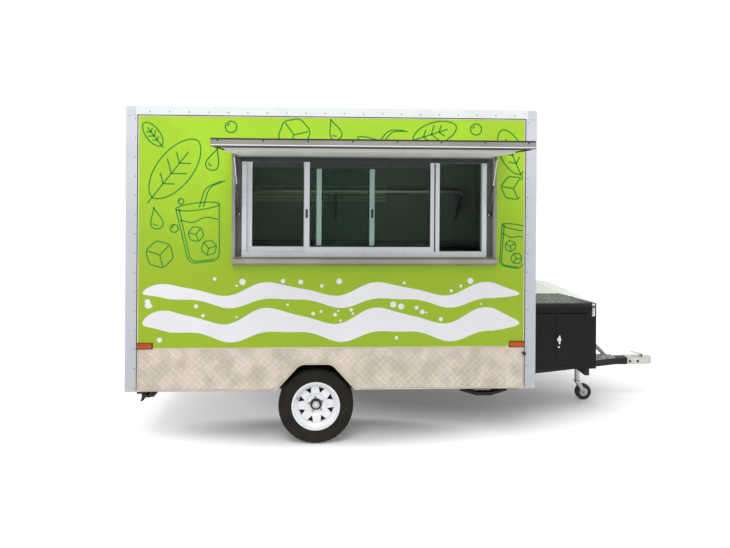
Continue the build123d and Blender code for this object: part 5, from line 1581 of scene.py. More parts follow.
@dataclass
class WrapArt:
    """The print on the serving side: large line drawings of drinks things over two pale waves.

    Places are metres from the panel's rear lower corner, along the trailer and up, and each row of a
    table holds a motif's place, its height and its lean in degrees.
    """

    line: float = 0.0088
    double_gap: float = 0.022
    layer: float = 0.00004
    tumblers: tuple = ((0.50, 0.66, 0.62, 7.0), (1.72, 1.22, 0.56, -16.0), (2.90, 0.62, 0.46, -10.0))
    cubes: tuple = ((0.16, 0.72, 0.22, 14.0), (1.19, 1.66, 0.26, -20.0), (2.92, 1.25, 0.20, 24.0))
    leaves: tuple = (
        (0.10, 1.16, 0.56, -38.0), (0.17, 1.56, 0.22, 38.0), (2.12, 1.62, 0.36, -72.0), (2.98, 1.36, 0.38, 24.0),
    )
    drops: tuple = ((0.13, 1.00, 0.17, 12.0), (0.57, 1.46, 0.18, -18.0), (1.50, 1.70, 0.17, 20.0))
    rings: tuple = ((0.27, 0.92, 0.030), (0.32, 1.13, 0.022), (0.70, 1.71, 0.044), (2.62, 1.71, 0.044))
    wave_length: float = 0.86
    wave_rows: tuple = ((0.165, 0.046, 0.190), (0.400, 0.040, 0.130))
    wave_margin: float = 0.03
    blots: int = 34
    blot_seed: int = 7
    blot_tries: int = 400
    blot_margin: float = 0.06
    blot_heights: tuple[float, float] = (0.05, 0.53)
    blot_radii: tuple[float, float] = (0.008, 0.026)
    blot_clear: float = 1.6
    panel_margin: float = 0.014
    art_foot: float = 0.565

    def tumbler(self, size: float) -> list[Shape]:
        """A tapered tumbler with a rim, a bent straw, a wavy fill line, bubbles and ice."""
        top, foot, tall = size * 0.27, size * 0.19, size * 0.70
        corners = np.array([(-top, tall), (-foot, 0.0), (foot, 0.0), (top, tall)])
        body = rounded_path(corners, size * 0.10, closed=False)
        angle = np.linspace(0, 2 * math.pi, 48, endpoint=False)
        rim = np.column_stack([np.cos(angle) * top, np.sin(angle) * size * 0.045 + tall])
        across = np.linspace(-top * 0.88, top * 0.88, 40)
        fill = np.column_stack([across, tall * 0.76 + np.sin(across / top * 5) * size * 0.022])
        straw = rounded_path(
            np.array([(size * 0.02, tall * 0.98), (size * 0.12, tall * 1.32), (size * 0.33, tall * 1.40)]),
            size * 0.08, closed=False,
        )
        inner = body[:10] * (0.86, 0.98) + (0.0, size * 0.02)
        shapes = [ribbon(body, self.line), ribbon(rim, self.line, True), ribbon(fill, self.line)]
        shapes += [ribbon(straw + (shift, 0.0), self.line) for shift in (0.0, self.double_gap * 1.4)]
        shapes.append(ribbon(inner, self.line))
        for x, y, turn in ((-0.06, 0.36, 14.0), (0.08, 0.17, -22.0)):
            shapes += [part.moved(spin(turn), (x * size, y * size, 0)) for part in self.cube(size * 0.20)]
        return shapes

    def cube(self, size: float) -> list[Shape]:
        """An ice cube seen from a corner: a rounded hexagon with three inner edges."""
        ring = circle(size / 2, 6, math.pi / 6)
        shapes = [ribbon(rounded_path(ring, size * 0.12), self.line, True)]
        for corner in (ring[0], ring[2], ring[4]):
            shapes.append(ribbon(np.linspace((0.0, -size * 0.03), corner * 0.86, 8), self.line))
        return shapes

    def drop(self, size: float) -> list[Shape]:
        """A drop: x is the sine of the angle times the square of the sine of its half, y is its cosine."""
        angle = np.linspace(0, 2 * math.pi, 44, endpoint=False)
        x = np.sin(angle) * np.sin(angle / 2) ** 2 * size * 0.42
        outline = np.column_stack([x, np.cos(angle) * size * 0.5])[::-1]
        light = np.linspace(math.pi * 1.12, math.pi * 1.5, 10)
        glint = np.column_stack([np.cos(light) * size * 0.17, np.sin(light) * size * 0.17 - size * 0.16])
        return [ribbon(outline, self.line, True), ribbon(glint, self.line)]

    def leaf(self, size: float) -> list[Shape]:
        """A mint leaf: its half width is the sine of the share along it, with a midrib and side veins."""
        share = np.linspace(0, math.pi, 26)
        half = np.column_stack([np.sin(share) ** 1.15 * 0.24, (1 - np.cos(share)) / 2])
        outline = np.concatenate([half, half[::-1][1:-1] * (-1, 1)]) * size
        rib = np.column_stack([np.zeros(16), np.linspace(-0.10, 0.80, 16) * size])
        shapes = [ribbon(outline, self.line, True), ribbon(rib, self.line)]
        for at in (0.24, 0.42, 0.60):
            reach = (0.17 - abs(at - 0.42) * 0.25) * size
            for way in (-1, 1):
                vein = np.linspace((0.0, at * size), (way * reach, at * size + reach * 0.75), 8)
                shapes.append(ribbon(vein, self.line))
        return shapes

    def ring(self, radius: float) -> list[Shape]:
        """A bubble with a short stroke of light in it."""
        light = np.linspace(math.pi * 0.6, math.pi * 0.95, 7)
        glint = np.column_stack([np.cos(light), np.sin(light)]) * radius * 0.6
        return [ribbon(circle(radius, 26), self.line, True), ribbon(glint, self.line)]

    def wave_edges(self, across: Array, row: tuple[float, float, float]) -> tuple[Array, Array]:
        """The lower and upper edge of one wave: its middle is a sine, and so is the change of its width."""
        base, swing, thick = row
        turn = across * 2 * math.pi / self.wave_length
        share = (across - across[0]) / (across[-1] - across[0])
        taper = np.clip(np.minimum(share, 1 - share) * 14, 0, 1) ** 0.5
        middle = base + swing * np.sin(turn) + swing * 0.3 * np.sin(turn * 2 + 0.6)
        half = thick / 2 * taper * (0.8 + 0.2 * np.sin(turn + 1.0))
        return middle - half, middle + half

    def wave_band(self, width: float) -> list[Shape]:
        """Two bold pale waves, one above the other, and blots of spray in the free space about them."""
        tries, margin = self.blot_tries, self.blot_margin
        rng = np.random.default_rng(self.blot_seed)
        places = np.column_stack([
            rng.uniform(margin, width - margin, tries), rng.uniform(*self.blot_heights, tries),
        ])
        sizes = rng.uniform(*self.blot_radii, tries)
        across = np.linspace(self.wave_margin, width - self.wave_margin, 280)
        shapes, free, clear = [], np.ones(tries, bool), sizes * self.blot_clear
        for row in self.wave_rows:
            low, high = self.wave_edges(across, row)
            edges = np.stack([np.column_stack([across, low]), np.column_stack([across, high])], axis=1)
            shapes.append(grid_shape(np.concatenate([edges, np.zeros((*edges.shape[:2], 1))], axis=2)))
            at_low, at_high = (np.interp(places[:, 0], across, edge) for edge in (low, high))
            free &= (places[:, 1] < at_low - clear) | (places[:, 1] > at_high + clear)
        for index in np.flatnonzero(free)[: self.blots]:
            blot = disc(circle(sizes[index], 18))
            shapes.append(blot.moved(offset=(*places[index], self.layer * (index % 9 + 1))))
        return shapes

    def build(self) -> None:
        """Lays both prints on the serving side's wall, clear of its opening and inside its trims."""
        wall, skirt, trims, roof, hatch = (
            extent(node) for node in ("wall_near", "tread_skirts", "corner_trims", "roof_trim", "opening_frame")
        )
        margin = self.panel_margin
        left, low = trims.low[0] + TRIM_WIDTH + margin, skirt.high[2] + margin
        width, height = trims.size[0] - 2 * (TRIM_WIDTH + margin), roof.low[2] - margin - low
        lines: list[Shape] = []
        for make, places in (
            (self.tumbler, self.tumblers), (self.cube, self.cubes),
            (self.drop, self.drops), (self.leaf, self.leaves),
        ):
            for x, z, size, turn in places:
                lines += [part.moved(spin(turn), (x, z, len(lines) * self.layer / 4)) for part in make(size)]
        for x, z, radius in self.rings:
            lines += [part.moved(offset=(x, z, len(lines) * self.layer / 4)) for part in self.ring(radius)]
        art = joined(lines)
        x, z = art.points[:, 0], art.points[:, 1]
        on_panel = (x > 0) & (x < width) & (z > self.art_foot) & (z < height)
        in_hatch = (x > hatch.low[0] - left) & (x < hatch.high[0] - left)
        in_hatch &= (z > hatch.low[2] - low) & (z < hatch.high[2] - low)
        art = art.kept(on_panel & ~in_hatch)
        upright = facing("-y")
        place = (left, wall.low[1] - PRINT_LIFT, low)
        make_object("wrap_line_art", art.moved(upright, place), PRINT_DARK)
        make_object("wrap_wave", joined(self.wave_band(width)).moved(upright, place), PRINT_AND_HIGHLIGHT_WHITE)
        log.info("wrap: %d faces of line art", len(art.quads))


@dataclass
class ServingHatch:
    """The window's gaskets, track ribs, sash latches, frame screws, dark strips of painted shade over the top
    rails, and side seals.
    """

    gasket: float = 0.010
    gasket_proud: float = 0.0015
    gasket_seat: float = 0.004
    gasket_loops: Rows = ((0.0, 0.0), (0.15, 1.0), (0.6, 1.0), (1.0, 0.0))
    sash_rim: tuple[float, float] = (0.040, 0.042)
    track_rows: tuple[float, ...] = (0.010, 0.030, 0.052)
    rib_inset: float = 0.037
    rib_seat: float = 0.0358
    rib_size: tuple[float, float] = (0.0024, 0.0055)
    latch_bars: Rows = ((0.016, 0.010, 0.07, 0.004), (0.010, 0.014, 0.0315, 0.010))
    latch_bevel: float = 0.003
    latch_inset: float = 0.018
    latch_drop: float = 0.05
    screw_radius: float = 0.004
    screw_height: float = 0.0018
    screw_inset: float = 0.018
    screw_margin: tuple[float, float] = (0.06, 0.05)
    screw_pitch: tuple[float, float] = (0.3, 0.22)
    header_shade_depth: float = 0.006
    header_shade_rise: float = 0.012
    stile: float = 0.042
    rail_shade_depth: float = 0.0015
    groove_width: float = 0.010
    groove_depth: float = 0.0012
    seal_half: float = 0.006
    seal_depth: float = 0.004
    seal_offset: float = 0.0065

    def ring(self, box: Extent, y: float, depth: float) -> Shape:
        """A rubber ring round a pane, as four strips whose sides taper towards the glass."""
        outer = rectangle(box.low[SIDE_AXES], box.high[SIDE_AXES])
        inward = np.sign(outer.mean(axis=0) - outer) * self.gasket
        loops = [stood(outer + inward * share, y - rise * depth) for share, rise in self.gasket_loops]
        return grid_shape(np.stack(loops), wrap_columns=True)

    def build_gaskets(self, panes: list[Extent], sashes: list[Extent]) -> None:
        """A gasket on both faces of each pane, inside the rim of its sash."""
        rings = []
        across, up = self.sash_rim
        for pane in panes:
            sash = min(sashes, key=lambda box: abs(box.middle[0] - pane.middle[0]))
            clear = Extent(
                np.array([max(pane.low[0], sash.low[0] + across), 0, sash.low[2] + up]),
                np.array([min(pane.high[0], sash.high[0] - across), 0, sash.high[2] - up]),
            )
            rings.append(self.ring(clear, sash.low[1] + self.gasket_seat, self.gasket_proud))
            rings.append(self.ring(clear, sash.high[1] - self.gasket_seat, -self.gasket_proud).flipped())
        make_object("pane_gaskets", joined(rings), GASKET_AND_SHADE_BLACK)

    def build_tracks(self, rim: Extent) -> None:
        """The ribs that the sashes run on."""
        thick, rise = self.rib_size
        base = rim.low[2] + self.rib_seat
        ribs = [bar_between(
            (rim.low[0] + self.rib_inset, rim.low[1] + row - thick / 2, base),
            (rim.high[0] - self.rib_inset, rim.low[1] + row + thick / 2, base + rise), FINE_BEVEL,
        ) for row in self.track_rows]
        make_object("track_ribs", joined(ribs), WINDOW_ALU)

    def build_latches(self, sashes: list[Extent]) -> None:
        """A latch on the free stile of each sash that slides: a body with a grip before it."""
        latches = []
        for sash in sashes[1:]:
            x = sash.high[0] - self.latch_inset if sash is sashes[-1] else sash.low[0] + self.latch_inset
            for *size, proud in self.latch_bars:
                place = (x, sash.low[1] - proud, sash.middle[2] - self.latch_drop)
                latches.append(rounded_box(size, self.latch_bevel).moved(offset=place))
        make_object("sash_latches", joined(latches), KNOB_AND_SHADE_BLACK)

    def build_screws(self, rim: Extent) -> None:
        """Screws all round the outer frame."""
        front, inset = rim.low[1], self.screw_inset
        alongs, ups = (
            spaced(rim.low[axis] + margin, rim.high[axis] - margin, pitch)
            for axis, margin, pitch in zip(SIDE_AXES, self.screw_margin, self.screw_pitch)
        )
        places = np.concatenate(
            [on_side(x, ups, front) for x in (rim.low[0] + inset, rim.high[0] - inset)]
            + [on_side(alongs, z, front) for z in (rim.low[2] + inset, rim.high[2] - inset)]
        )
        screw = dome(self.screw_radius, self.screw_height, 3, 8).moved(facing("-y"))
        make_object("window_screws", screw.repeated(places), RIVET_ALU, slot="window_alu")

    def build_header_shade(self, rim: Extent, sashes: list[Extent]) -> None:
        """Dark strips of painted shade where the flap's shadow falls: one over the frame's top rail and one on
        each sash's top rail.
        """
        rail = sashes[0].high[2]
        strips = [bar_between(
            (rim.low[0], rim.low[1] - self.header_shade_depth, rail),
            (rim.high[0], rim.low[1] - SEAT_LIFT, rim.high[2] + self.header_shade_rise), 0.002,
        )]
        strips += [bar_between(
            (sash.low[0] + self.stile, sash.low[1] - self.rail_shade_depth, rail - self.stile),
            (sash.high[0] - self.stile, sash.low[1] - SEAT_LIFT, rail), FINE_BEVEL,
        ) for sash in sashes]
        make_object("header_painted_shade", joined(strips), HEAD_RAIL_PAINTED_SHADE)

    def build_edges(self, rim: Extent, last: Extent) -> None:
        """The dark groove down the last sash's edge and the seals between the frame and the jambs."""
        groove = bar_between(
            (last.high[0] - self.groove_width, last.low[1] - self.groove_depth, last.low[2] + 0.004),
            (last.high[0], last.low[1] - SEAT_LIFT, last.high[2] - 0.004), FINE_BEVEL,
        )
        make_object("stile_groove", groove, GASKET_AND_SHADE_BLACK)
        jamb = extent("jamb_panels")
        seals = [bar_between(
            (x - self.seal_half, jamb.low[1] - self.seal_depth, jamb.low[2]),
            (x + self.seal_half, jamb.low[1] - SEAT_LIFT, jamb.high[2]), 0.001,
        ) for x in (rim.low[0] - self.seal_offset, rim.high[0] + self.seal_offset)]
        make_object("jamb_seals", joined(seals), GASKET_AND_SHADE_BLACK)

    def build(self) -> None:
        """Dresses the window."""
        sashes, rim = solids("window_sashes"), extent("window_frame")
        self.build_gaskets(solids("window_panes"), sashes)
        self.build_tracks(rim)
        self.build_latches(sashes)
        self.build_screws(rim)
        self.build_header_shade(rim, sashes)
        self.build_edges(rim, max(sashes, key=lambda box: box.high[0]))


@dataclass
class Cabin:
    """What shows through the glass besides the benches: a slatted board high on the far wall."""

    start: float = -4.2
    end: float = -2.46
    lowest: float = 1.487
    pitch: float = 0.037
    height: float = 0.027
    depth: float = 0.012
    count: int = 5

    def build(self) -> None:
        """Lays the slats one above another on the far wall's inner face."""
        wall = extent("wall_far").low[1]
        slats = [bar_between(
            (self.start, wall - self.depth, z), (self.end, wall - SEAT_LIFT, z + self.height), 0.003,
        ) for z in self.lowest + self.pitch * np.arange(self.count)]
        make_object("cabin_slats", joined(slats), SLAT_BOARD)


@dataclass
class Flap:
    """The flap's edge channel, its screws, its strips (among them a painted highlight and a line of painted
    shade), the seal below it and the struts' end pieces.

    In the front strips, each row is the lower edge's drop from the panel's top, the strip's height and
    how far it stands off the panel.
    """

    lip: float = 0.030
    thick: float = 0.0025
    depth: float = 0.046
    screw_radius: float = 0.006
    screw_height: float = 0.003
    screw_pitch: float = 0.29
    screw_drop: tuple[float, float] = (0.010, 0.012)
    screw_margin: tuple[float, float] = (0.045, 0.06)
    end_pitch: float = 0.22
    drip_reach: tuple[float, float] = (0.003, 0.006)
    drip_height: float = 0.004
    strip_over: float = 0.002
    # The upper front strip is a dark groove, the lower one a line of painted shade at the front's lower edge;
    # the next row is a painted highlight.
    groove_and_shade_rows: Rows = ((0.004, 0.006, 0.0042), (0.048, 0.004, 0.0042))
    painted_highlight_row: tuple[float, float, float] = (0.042, 0.007, 0.0038)
    seal_inset: tuple[float, float] = (0.022, 0.03)
    seal_round: float = 0.02
    seal_half: float = 0.007
    seal_height: float = 0.006
    pin_y: float = -0.952
    socket_offset: tuple[float, float] = (0.001, 0.008)
    socket_rows: Rows = (
        (-0.007, 0.0), (-0.0065, 0.006), (-0.003, 0.0092), (0.003, 0.0092), (0.0065, 0.006), (0.007, 0.0),
    )
    collar_offset: tuple[float, float] = (0.0075, 0.006)
    collar_rows: Rows = ((-0.004, 0.0), (-0.004, 0.0098), (0.004, 0.0098), (0.0055, 0.0075), (0.0055, 0.0))

    def channel(self, panel: Extent) -> Shape:
        """A U section round the three free edges: each side is a thin bar over the panel's edge."""
        t, lip, high = self.thick, self.lip, panel.high
        low = panel.low - t * 0.2
        right = high[0] + t * 0.2
        top, bottom = high[2], high[2] - self.depth
        bars = [
            ((low[0], low[1] - t, bottom - t), (right, low[1], top + t)),
            ((low[0], low[1], top), (right, low[1] + lip, top + t)),
            ((low[0], low[1], bottom - t), (right, low[1] + lip, bottom)),
        ]
        for x, inward in ((low[0], 1), (right, -1)):
            bars += [
                ((x, low[1] - t, bottom - t), (x - inward * t, high[1], top + t)),
                ((x, low[1] + lip, top), (x + inward * lip, high[1], top + t)),
                ((x, low[1] + lip, bottom - t), (x + inward * lip, high[1], bottom)),
            ]
        return joined([bar_between(a, b, 0.0008) for a, b in bars])

    def front_strip(self, panel: Extent, row: Sequence[float]) -> Shape:
        """A thin strip along the front of the channel."""
        drop, tall, proud = row
        z = panel.high[2] - drop
        return bar_between(
            (panel.low[0] - self.strip_over, panel.low[1] - proud, z),
            (panel.high[0] + self.strip_over, panel.low[1] - self.strip_over, z + tall), 0.0005,
        )

    def build_screws(self, panel: Extent) -> None:
        """Screws along the front edge and down both ends."""
        head = dome(self.screw_radius, self.screw_height, 3, 10)
        (margin, end_margin), (drop, end_drop) = self.screw_margin, self.screw_drop
        alongs = spaced(panel.low[0] + margin, panel.high[0] - margin, self.screw_pitch)
        front = on_side(alongs, panel.high[2] - drop, panel.low[1] - self.thick)
        ys = spaced(panel.low[1] + end_margin, panel.high[1] - end_margin, self.end_pitch)
        ends = [
            head.moved(facing(face)).repeated(np.column_stack([
                np.full(len(ys), x), ys, np.full(len(ys), panel.high[2] - end_drop),
            ]))
            for x, face in ((panel.low[0] - self.thick * 1.2, "-x"), (panel.high[0] + self.thick * 1.2, "x"))
        ]
        screws = joined([head.moved(facing("-y")).repeated(front), *ends])
        make_object("flap_screws", screws, KNOB_AND_SHADE_BLACK, "flap", "trim_white")

    def build_strips(self, panel: Extent) -> None:
        """The drip strip on top; along the front a dark groove line, a dark line of painted shade at the lower
        edge and a painted highlight just above it; and the seal below.
        """
        top = panel.high[2] + self.thick
        out, back = self.drip_reach
        drip = bar_between(
            (panel.low[0], panel.low[1] - out, top),
            (panel.high[0], panel.low[1] + back, top + self.drip_height), 0.001,
        )
        make_object("flap_drip_strip", drip, GASKET_AND_SHADE_BLACK, "flap", "trim_white")
        # Dark lines: a groove at the top, and painted shade along the lower edge.
        lines = joined([self.front_strip(panel, row) for row in self.groove_and_shade_rows])
        make_object("flap_edge_groove_and_shade", lines, GASKET_AND_SHADE_BLACK, "flap", "trim_white")
        # Painted highlight: a bright line just above the lower dark line.
        glint = self.front_strip(panel, self.painted_highlight_row)
        make_object("flap_edge_painted_highlight", glint, PRINT_AND_HIGHLIGHT_WHITE, "flap", "trim_white")
        inset, back_inset = self.seal_inset
        path = rounded_path(
            rectangle(panel.low[:2] + inset, panel.high[:2] - (inset, back_inset)), self.seal_round
        )
        line = np.column_stack([path, np.full(len(path), panel.high[2] - self.depth - self.thick)])
        profile = circle(1.0, 8) * (self.seal_half, self.seal_height)
        seal = swept(line, profile, (0.0, 0.0, 1.0), closed=True)
        make_object("flap_seal", seal, GASKET_AND_SHADE_BLACK, "flap", "trim_white")

    def build_struts(self) -> None:
        """A bright socket cap at the foot of each strut's tube and a collar round its head."""
        for name, inward in (("rear", 1), ("front", -1)):
            tube, rod = extent(f"strut_{name}_tube"), extent(f"strut_{name}_rod")
            body = f"strut_{name}_lower"
            aside, rise = self.socket_offset
            foot = (tube.middle[0] + inward * aside, self.pin_y, tube.low[2] + rise)
            socket = lathe(np.array(self.socket_rows), 16).moved(facing("x"), foot)
            make_object(f"strut_{name}_socket", socket, HANDLE_CHROME, body, "rod_chrome")
            along = np.array([0.0, rod.low[1] - rod.high[1], rod.high[2] - rod.low[2]])
            along /= np.linalg.norm(along)
            across = np.array([1.0, 0.0, 0.0])
            turn = np.stack([across, np.cross(along, across), along])
            in_y, down = self.collar_offset
            tip = (tube.middle[0], tube.low[1] + in_y, tube.high[2] - down)
            collar = lathe(np.array(self.collar_rows), 20).moved(turn, tip)
            make_object(f"strut_{name}_collar", collar, STRUT_BLACK, body)

    def build(self) -> None:
        """Dresses the flap and its struts."""
        panel = extent("flap_panel")
        make_object("flap_edge_channel", self.channel(panel), FLAP_EDGE, "flap")
        self.build_screws(panel)
        self.build_strips(panel)
        self.build_struts()


def hex_bolt(radius: float, height: float, washer: float = 0.002) -> Shape:
    """A six-sided head on a round washer, standing on the plane z = 0."""
    head = prism(circle(radius, 6), height, height * 0.2)
    ring = prism(circle(radius * 1.45, 18), washer, washer * 0.3)
    return joined([ring, head.moved(offset=(0, 0, washer * 0.9))])


def rod_bar(radius: float, length: float, sides: int = 18, bevel: float = 0.001) -> Shape:
    """A round bar on the plane z = 0 with its top edge cut."""
    return prism(circle(radius, sides), length, bevel)


@dataclass
class Locker:
    """The drawbar locker: its lid's tread, pressed door beads, hinge knuckles, lock and draw latches.

    A row of a latch holds one bar: its two ends in X as shares of half the latch's width, then in Y
    outwards from the shell's side, then in Z, and its bevel.
    """

    wall_gap: float = 0.09
    lid_margin: float = 0.02
    bead_inset: float = 0.026
    bead_radius: float = 0.0035
    bead_round: float = 0.02
    knuckle_radius: float = 0.0038
    knuckle_length: float = 0.06
    knuckle_ends: tuple[float, float] = (0.07, 0.13)
    hinge_y: float = -0.583
    hinge_x: tuple[tuple[str, float], ...] = (("rear", -1.369), ("front", -0.827))
    barrel: tuple[float, float, float] = (0.0095, 0.007, 0.003)
    barrel_drop: float = 0.03
    latch_from_front: float = 0.026
    latch_half: float = 0.013
    hook_base: float = 0.003
    latch_rows: Rows = (
        (-1.0, 1.0, 0.0, 0.004, -0.085, -0.012, 0.001), (-0.6, 0.6, 0.004, 0.014, -0.075, -0.02, 0.003),
        (-0.75, -0.5, 0.009, 0.013, -0.03, 0.001, 0.001), (0.5, 0.75, 0.009, 0.013, -0.03, 0.001, 0.001),
    )
    hook_rows: Rows = (
        (-1.0, 1.0, 0.0, 0.003, 0.0, 0.022, 0.001), (-0.8, 0.8, 0.003, 0.014, 0.004, 0.010, 0.0015),
    )

    def build_tread(self) -> None:
        """Lozenges all over the lid, each laid on the slope beneath it."""
        lid, skirts = extent("locker_lid"), TreadSkirts()
        low, high = lid.low[:2] + (self.wall_gap, self.lid_margin), lid.high[:2] - self.lid_margin
        places, angles = skirts.field(low, high, lambda x, y: np.ones(len(x), bool))
        ground = drape("locker_lid", places)
        ahead = np.column_stack([np.cos(angles), np.sin(angles), np.zeros(len(angles))])
        side = np.cross(ground.normals, ahead)
        side /= np.linalg.norm(side, axis=1, keepdims=True)
        turns = np.stack([np.cross(side, ground.normals), side, ground.normals], axis=1)[ground.met]
        shape = skirts.lozenge().repeated(ground.points[ground.met], turns)
        make_object("lid_lozenges", shape, LID_LOZENGE, "locker_cover")

    def build_doors(self) -> None:
        """A pressed bead round each door leaf, its hinge knuckles and the lock's barrel."""
        profile = circle(1.0, 8) * (self.bead_radius, self.bead_radius * 0.6)
        bar = rod_bar(self.knuckle_radius, self.knuckle_length, 12)
        for name, hinge_x in self.hinge_x:
            leaf, body = extent(f"locker_door_{name}"), f"locker_leaf_{name}"
            corners = rectangle(leaf.low[SIDE_AXES] + self.bead_inset, leaf.high[SIDE_AXES] - self.bead_inset)
            line = stood(rounded_path(corners, self.bead_round), leaf.low[1])
            bead = swept(line, profile, (0.0, -1.0, 0.0), closed=True)
            make_object(f"door_bead_{name}", bead, LOCKER_BLACK, body)
            low, high = self.knuckle_ends
            spots = on_side(hinge_x, np.array([leaf.low[2] + low, leaf.high[2] - high]), self.hinge_y)
            make_object(f"door_knuckles_{name}", bar.repeated(spots), LOCKER_BLACK, body)
        radius, plug, rise = self.barrel
        barrel = joined([rod_bar(radius, rise, 20), dome(plug, rise, 3, 16).moved(offset=(0, 0, rise))])
        handle = extent("locker_handle")
        spot = (handle.middle[0], extent("locker_door_front").low[1], handle.low[2] - self.barrel_drop)
        make_object("door_lock_barrel", barrel.moved(facing("-y"), spot), HANDLE_CHROME, "locker_leaf_front")

    def bars(self, rows: Rows, face: float, way: int, x: float, z: float) -> list[Shape]:
        """The bars of one half of a latch, about a place on the shell's side."""
        return [bar_between(
            (x + self.latch_half * left, face + way * inner, z + low),
            (x + self.latch_half * right, face + way * outer, z + high), bevel,
        ) for left, right, inner, outer, low, high, bevel in rows]

    def build_latches(self) -> None:
        """A draw latch on each side: its plate and lever on the shell, its hook on the lid's rim."""
        shell, lid = extent("locker_shell"), extent("locker_lid")
        x = shell.high[0] - self.latch_from_front
        plates, hooks = [], []
        for face, way in ((shell.low[1], -1), (shell.high[1], 1)):
            plates += self.bars(self.latch_rows, face, way, x, shell.high[2])
            hooks += self.bars(self.hook_rows, face, way, x, lid.low[2] + self.hook_base)
        make_object("draw_latches", joined(plates), HANDLE_CHROME)
        make_object("draw_latch_hooks", joined(hooks), HANDLE_CHROME, "locker_cover")

    def build(self) -> None:
        """Dresses the locker."""
        self.build_tread()
        self.build_doors()
        self.build_latches()


@dataclass
class DrawGear:
    """The coupler's bolts and lever pin, the step plate's bolts, and the jockey jack's small parts.

    A bolt's size is its head's radius and height. A turned piece's rows are distance and radius.
    """

    coupler_bolt: tuple[float, float] = (0.0085, 0.007)
    coupler_bolt_shares: tuple[float, float] = (0.10, 0.40)
    coupler_bolt_rise: float = 0.005
    pin_radius: float = 0.005
    pin_over: float = 0.006
    pin_inset: float = 0.011
    pin_head: tuple[float, float] = (0.008, 0.003)
    pin_head_gap: float = 0.004
    plate_bolt: tuple[float, float] = (0.008, 0.006)
    plate_bolt_shares: Rows = ((0.35, 0.8), (0.35, -0.8), (0.952, 0.24), (0.952, -0.24))
    caster_bolt: tuple[float, float] = (0.010, 0.007)
    hub_rows: Rows = (
        (0.0, 0.016), (0.0, 0.040), (0.0022, 0.038), (0.003, 0.030), (0.0015, 0.018), (0.0015, 0.016),
    )
    grip_rows: Rows = (
        (0.0, 0.0), (0.0, 0.011), (0.003, 0.0145), (0.062, 0.0145), (0.067, 0.011), (0.068, 0.0),
    )
    grip_reach: float = 0.067
    grip_drop: float = 0.131
    cap_rows: Rows = ((-0.014, 0.0), (-0.014, 0.0315), (-0.002, 0.0315), (0.0, 0.028), (0.0, 0.0))
    cap_lift: float = 0.0005

    def build_coupler(self) -> None:
        """Two through bolts in the channel and the pin that the lever turns on."""
        body, lever = extent("coupler"), extent("coupler_lever")
        head = hex_bolt(*self.coupler_bolt)
        x = body.low[0] + np.array(self.coupler_bolt_shares) * body.size[0]
        pieces = [
            head.moved(facing(way)).repeated(on_side(x, self.coupler_bolt_rise, y))
            for way, y in (("-y", body.low[1]), ("y", body.high[1]))
        ]
        pin_x, pin_z = lever.high[0] - self.pin_inset, lever.low[2] + self.pin_inset
        pin = rod_bar(self.pin_radius, lever.size[1] + 2 * self.pin_over)
        pieces.append(pin.moved(facing("y"), (pin_x, lever.low[1] - self.pin_over, pin_z)))
        pieces += [
            dome(*self.pin_head, 3, 12).moved(facing(way), (pin_x, y, pin_z))
            for way, y in (("-y", lever.low[1] - self.pin_head_gap), ("y", lever.high[1] + self.pin_head_gap))
        ]
        make_object("coupler_bolts", joined(pieces), KNOB_AND_SHADE_BLACK, slot="jack_zinc")

    def build_plate(self) -> None:
        """Bolts through the step plate into the drawbar."""
        plate = extent("drawbar_plate")
        along, across = np.array(self.plate_bolt_shares).T
        shares = np.column_stack([along, (across + 1) / 2])
        ground = drape("drawbar_plate", plate.low[:2] + shares * plate.size[:2])
        bolts = hex_bolt(*self.plate_bolt).repeated(ground.points[ground.met])
        make_object("step_plate_bolts", bolts, JACK_ZINC)

    def build_jack(self) -> None:
        """The caster's axle bolt, its hub discs, the crank's grip and the tube's cap."""
        fork, wheel, leg = extent("jack_fork"), extent("jack_wheel"), extent("jack_leg")
        x, _, z = wheel.middle

        def pair(shape: Shape, box: Extent) -> Shape:
            """A shape on both sides of a box, on the caster's axle."""
            return joined([
                shape.moved(facing(way), (x, y, z)) for way, y in (("-y", box.low[1]), ("y", box.high[1]))
            ])

        make_object("caster_bolt", pair(hex_bolt(*self.caster_bolt), fork), JACK_ZINC, "jack_swivel")
        make_object("caster_hub", pair(lathe(np.array(self.hub_rows), 28), wheel), JACK_ZINC, "jack_roller")
        spot = (leg.middle[0], leg.low[1] + self.grip_reach, leg.high[2] - self.grip_drop)
        grip = lathe(np.array(self.grip_rows), 20).moved(facing("-y"), spot)
        make_object("crank_grip", grip, KNOB_AND_SHADE_BLACK, slot="jack_rubber")
        cap = lathe(np.array(self.cap_rows), 28).moved(offset=(leg.middle[0], 0.0, leg.high[2] + self.cap_lift))
        make_object("jack_cap", cap, KNOB_AND_SHADE_BLACK, slot="jack_rubber")

    def build(self) -> None:
        """Dresses the coupler, the plate and the jack."""
        self.build_coupler()
        self.build_plate()
        self.build_jack()


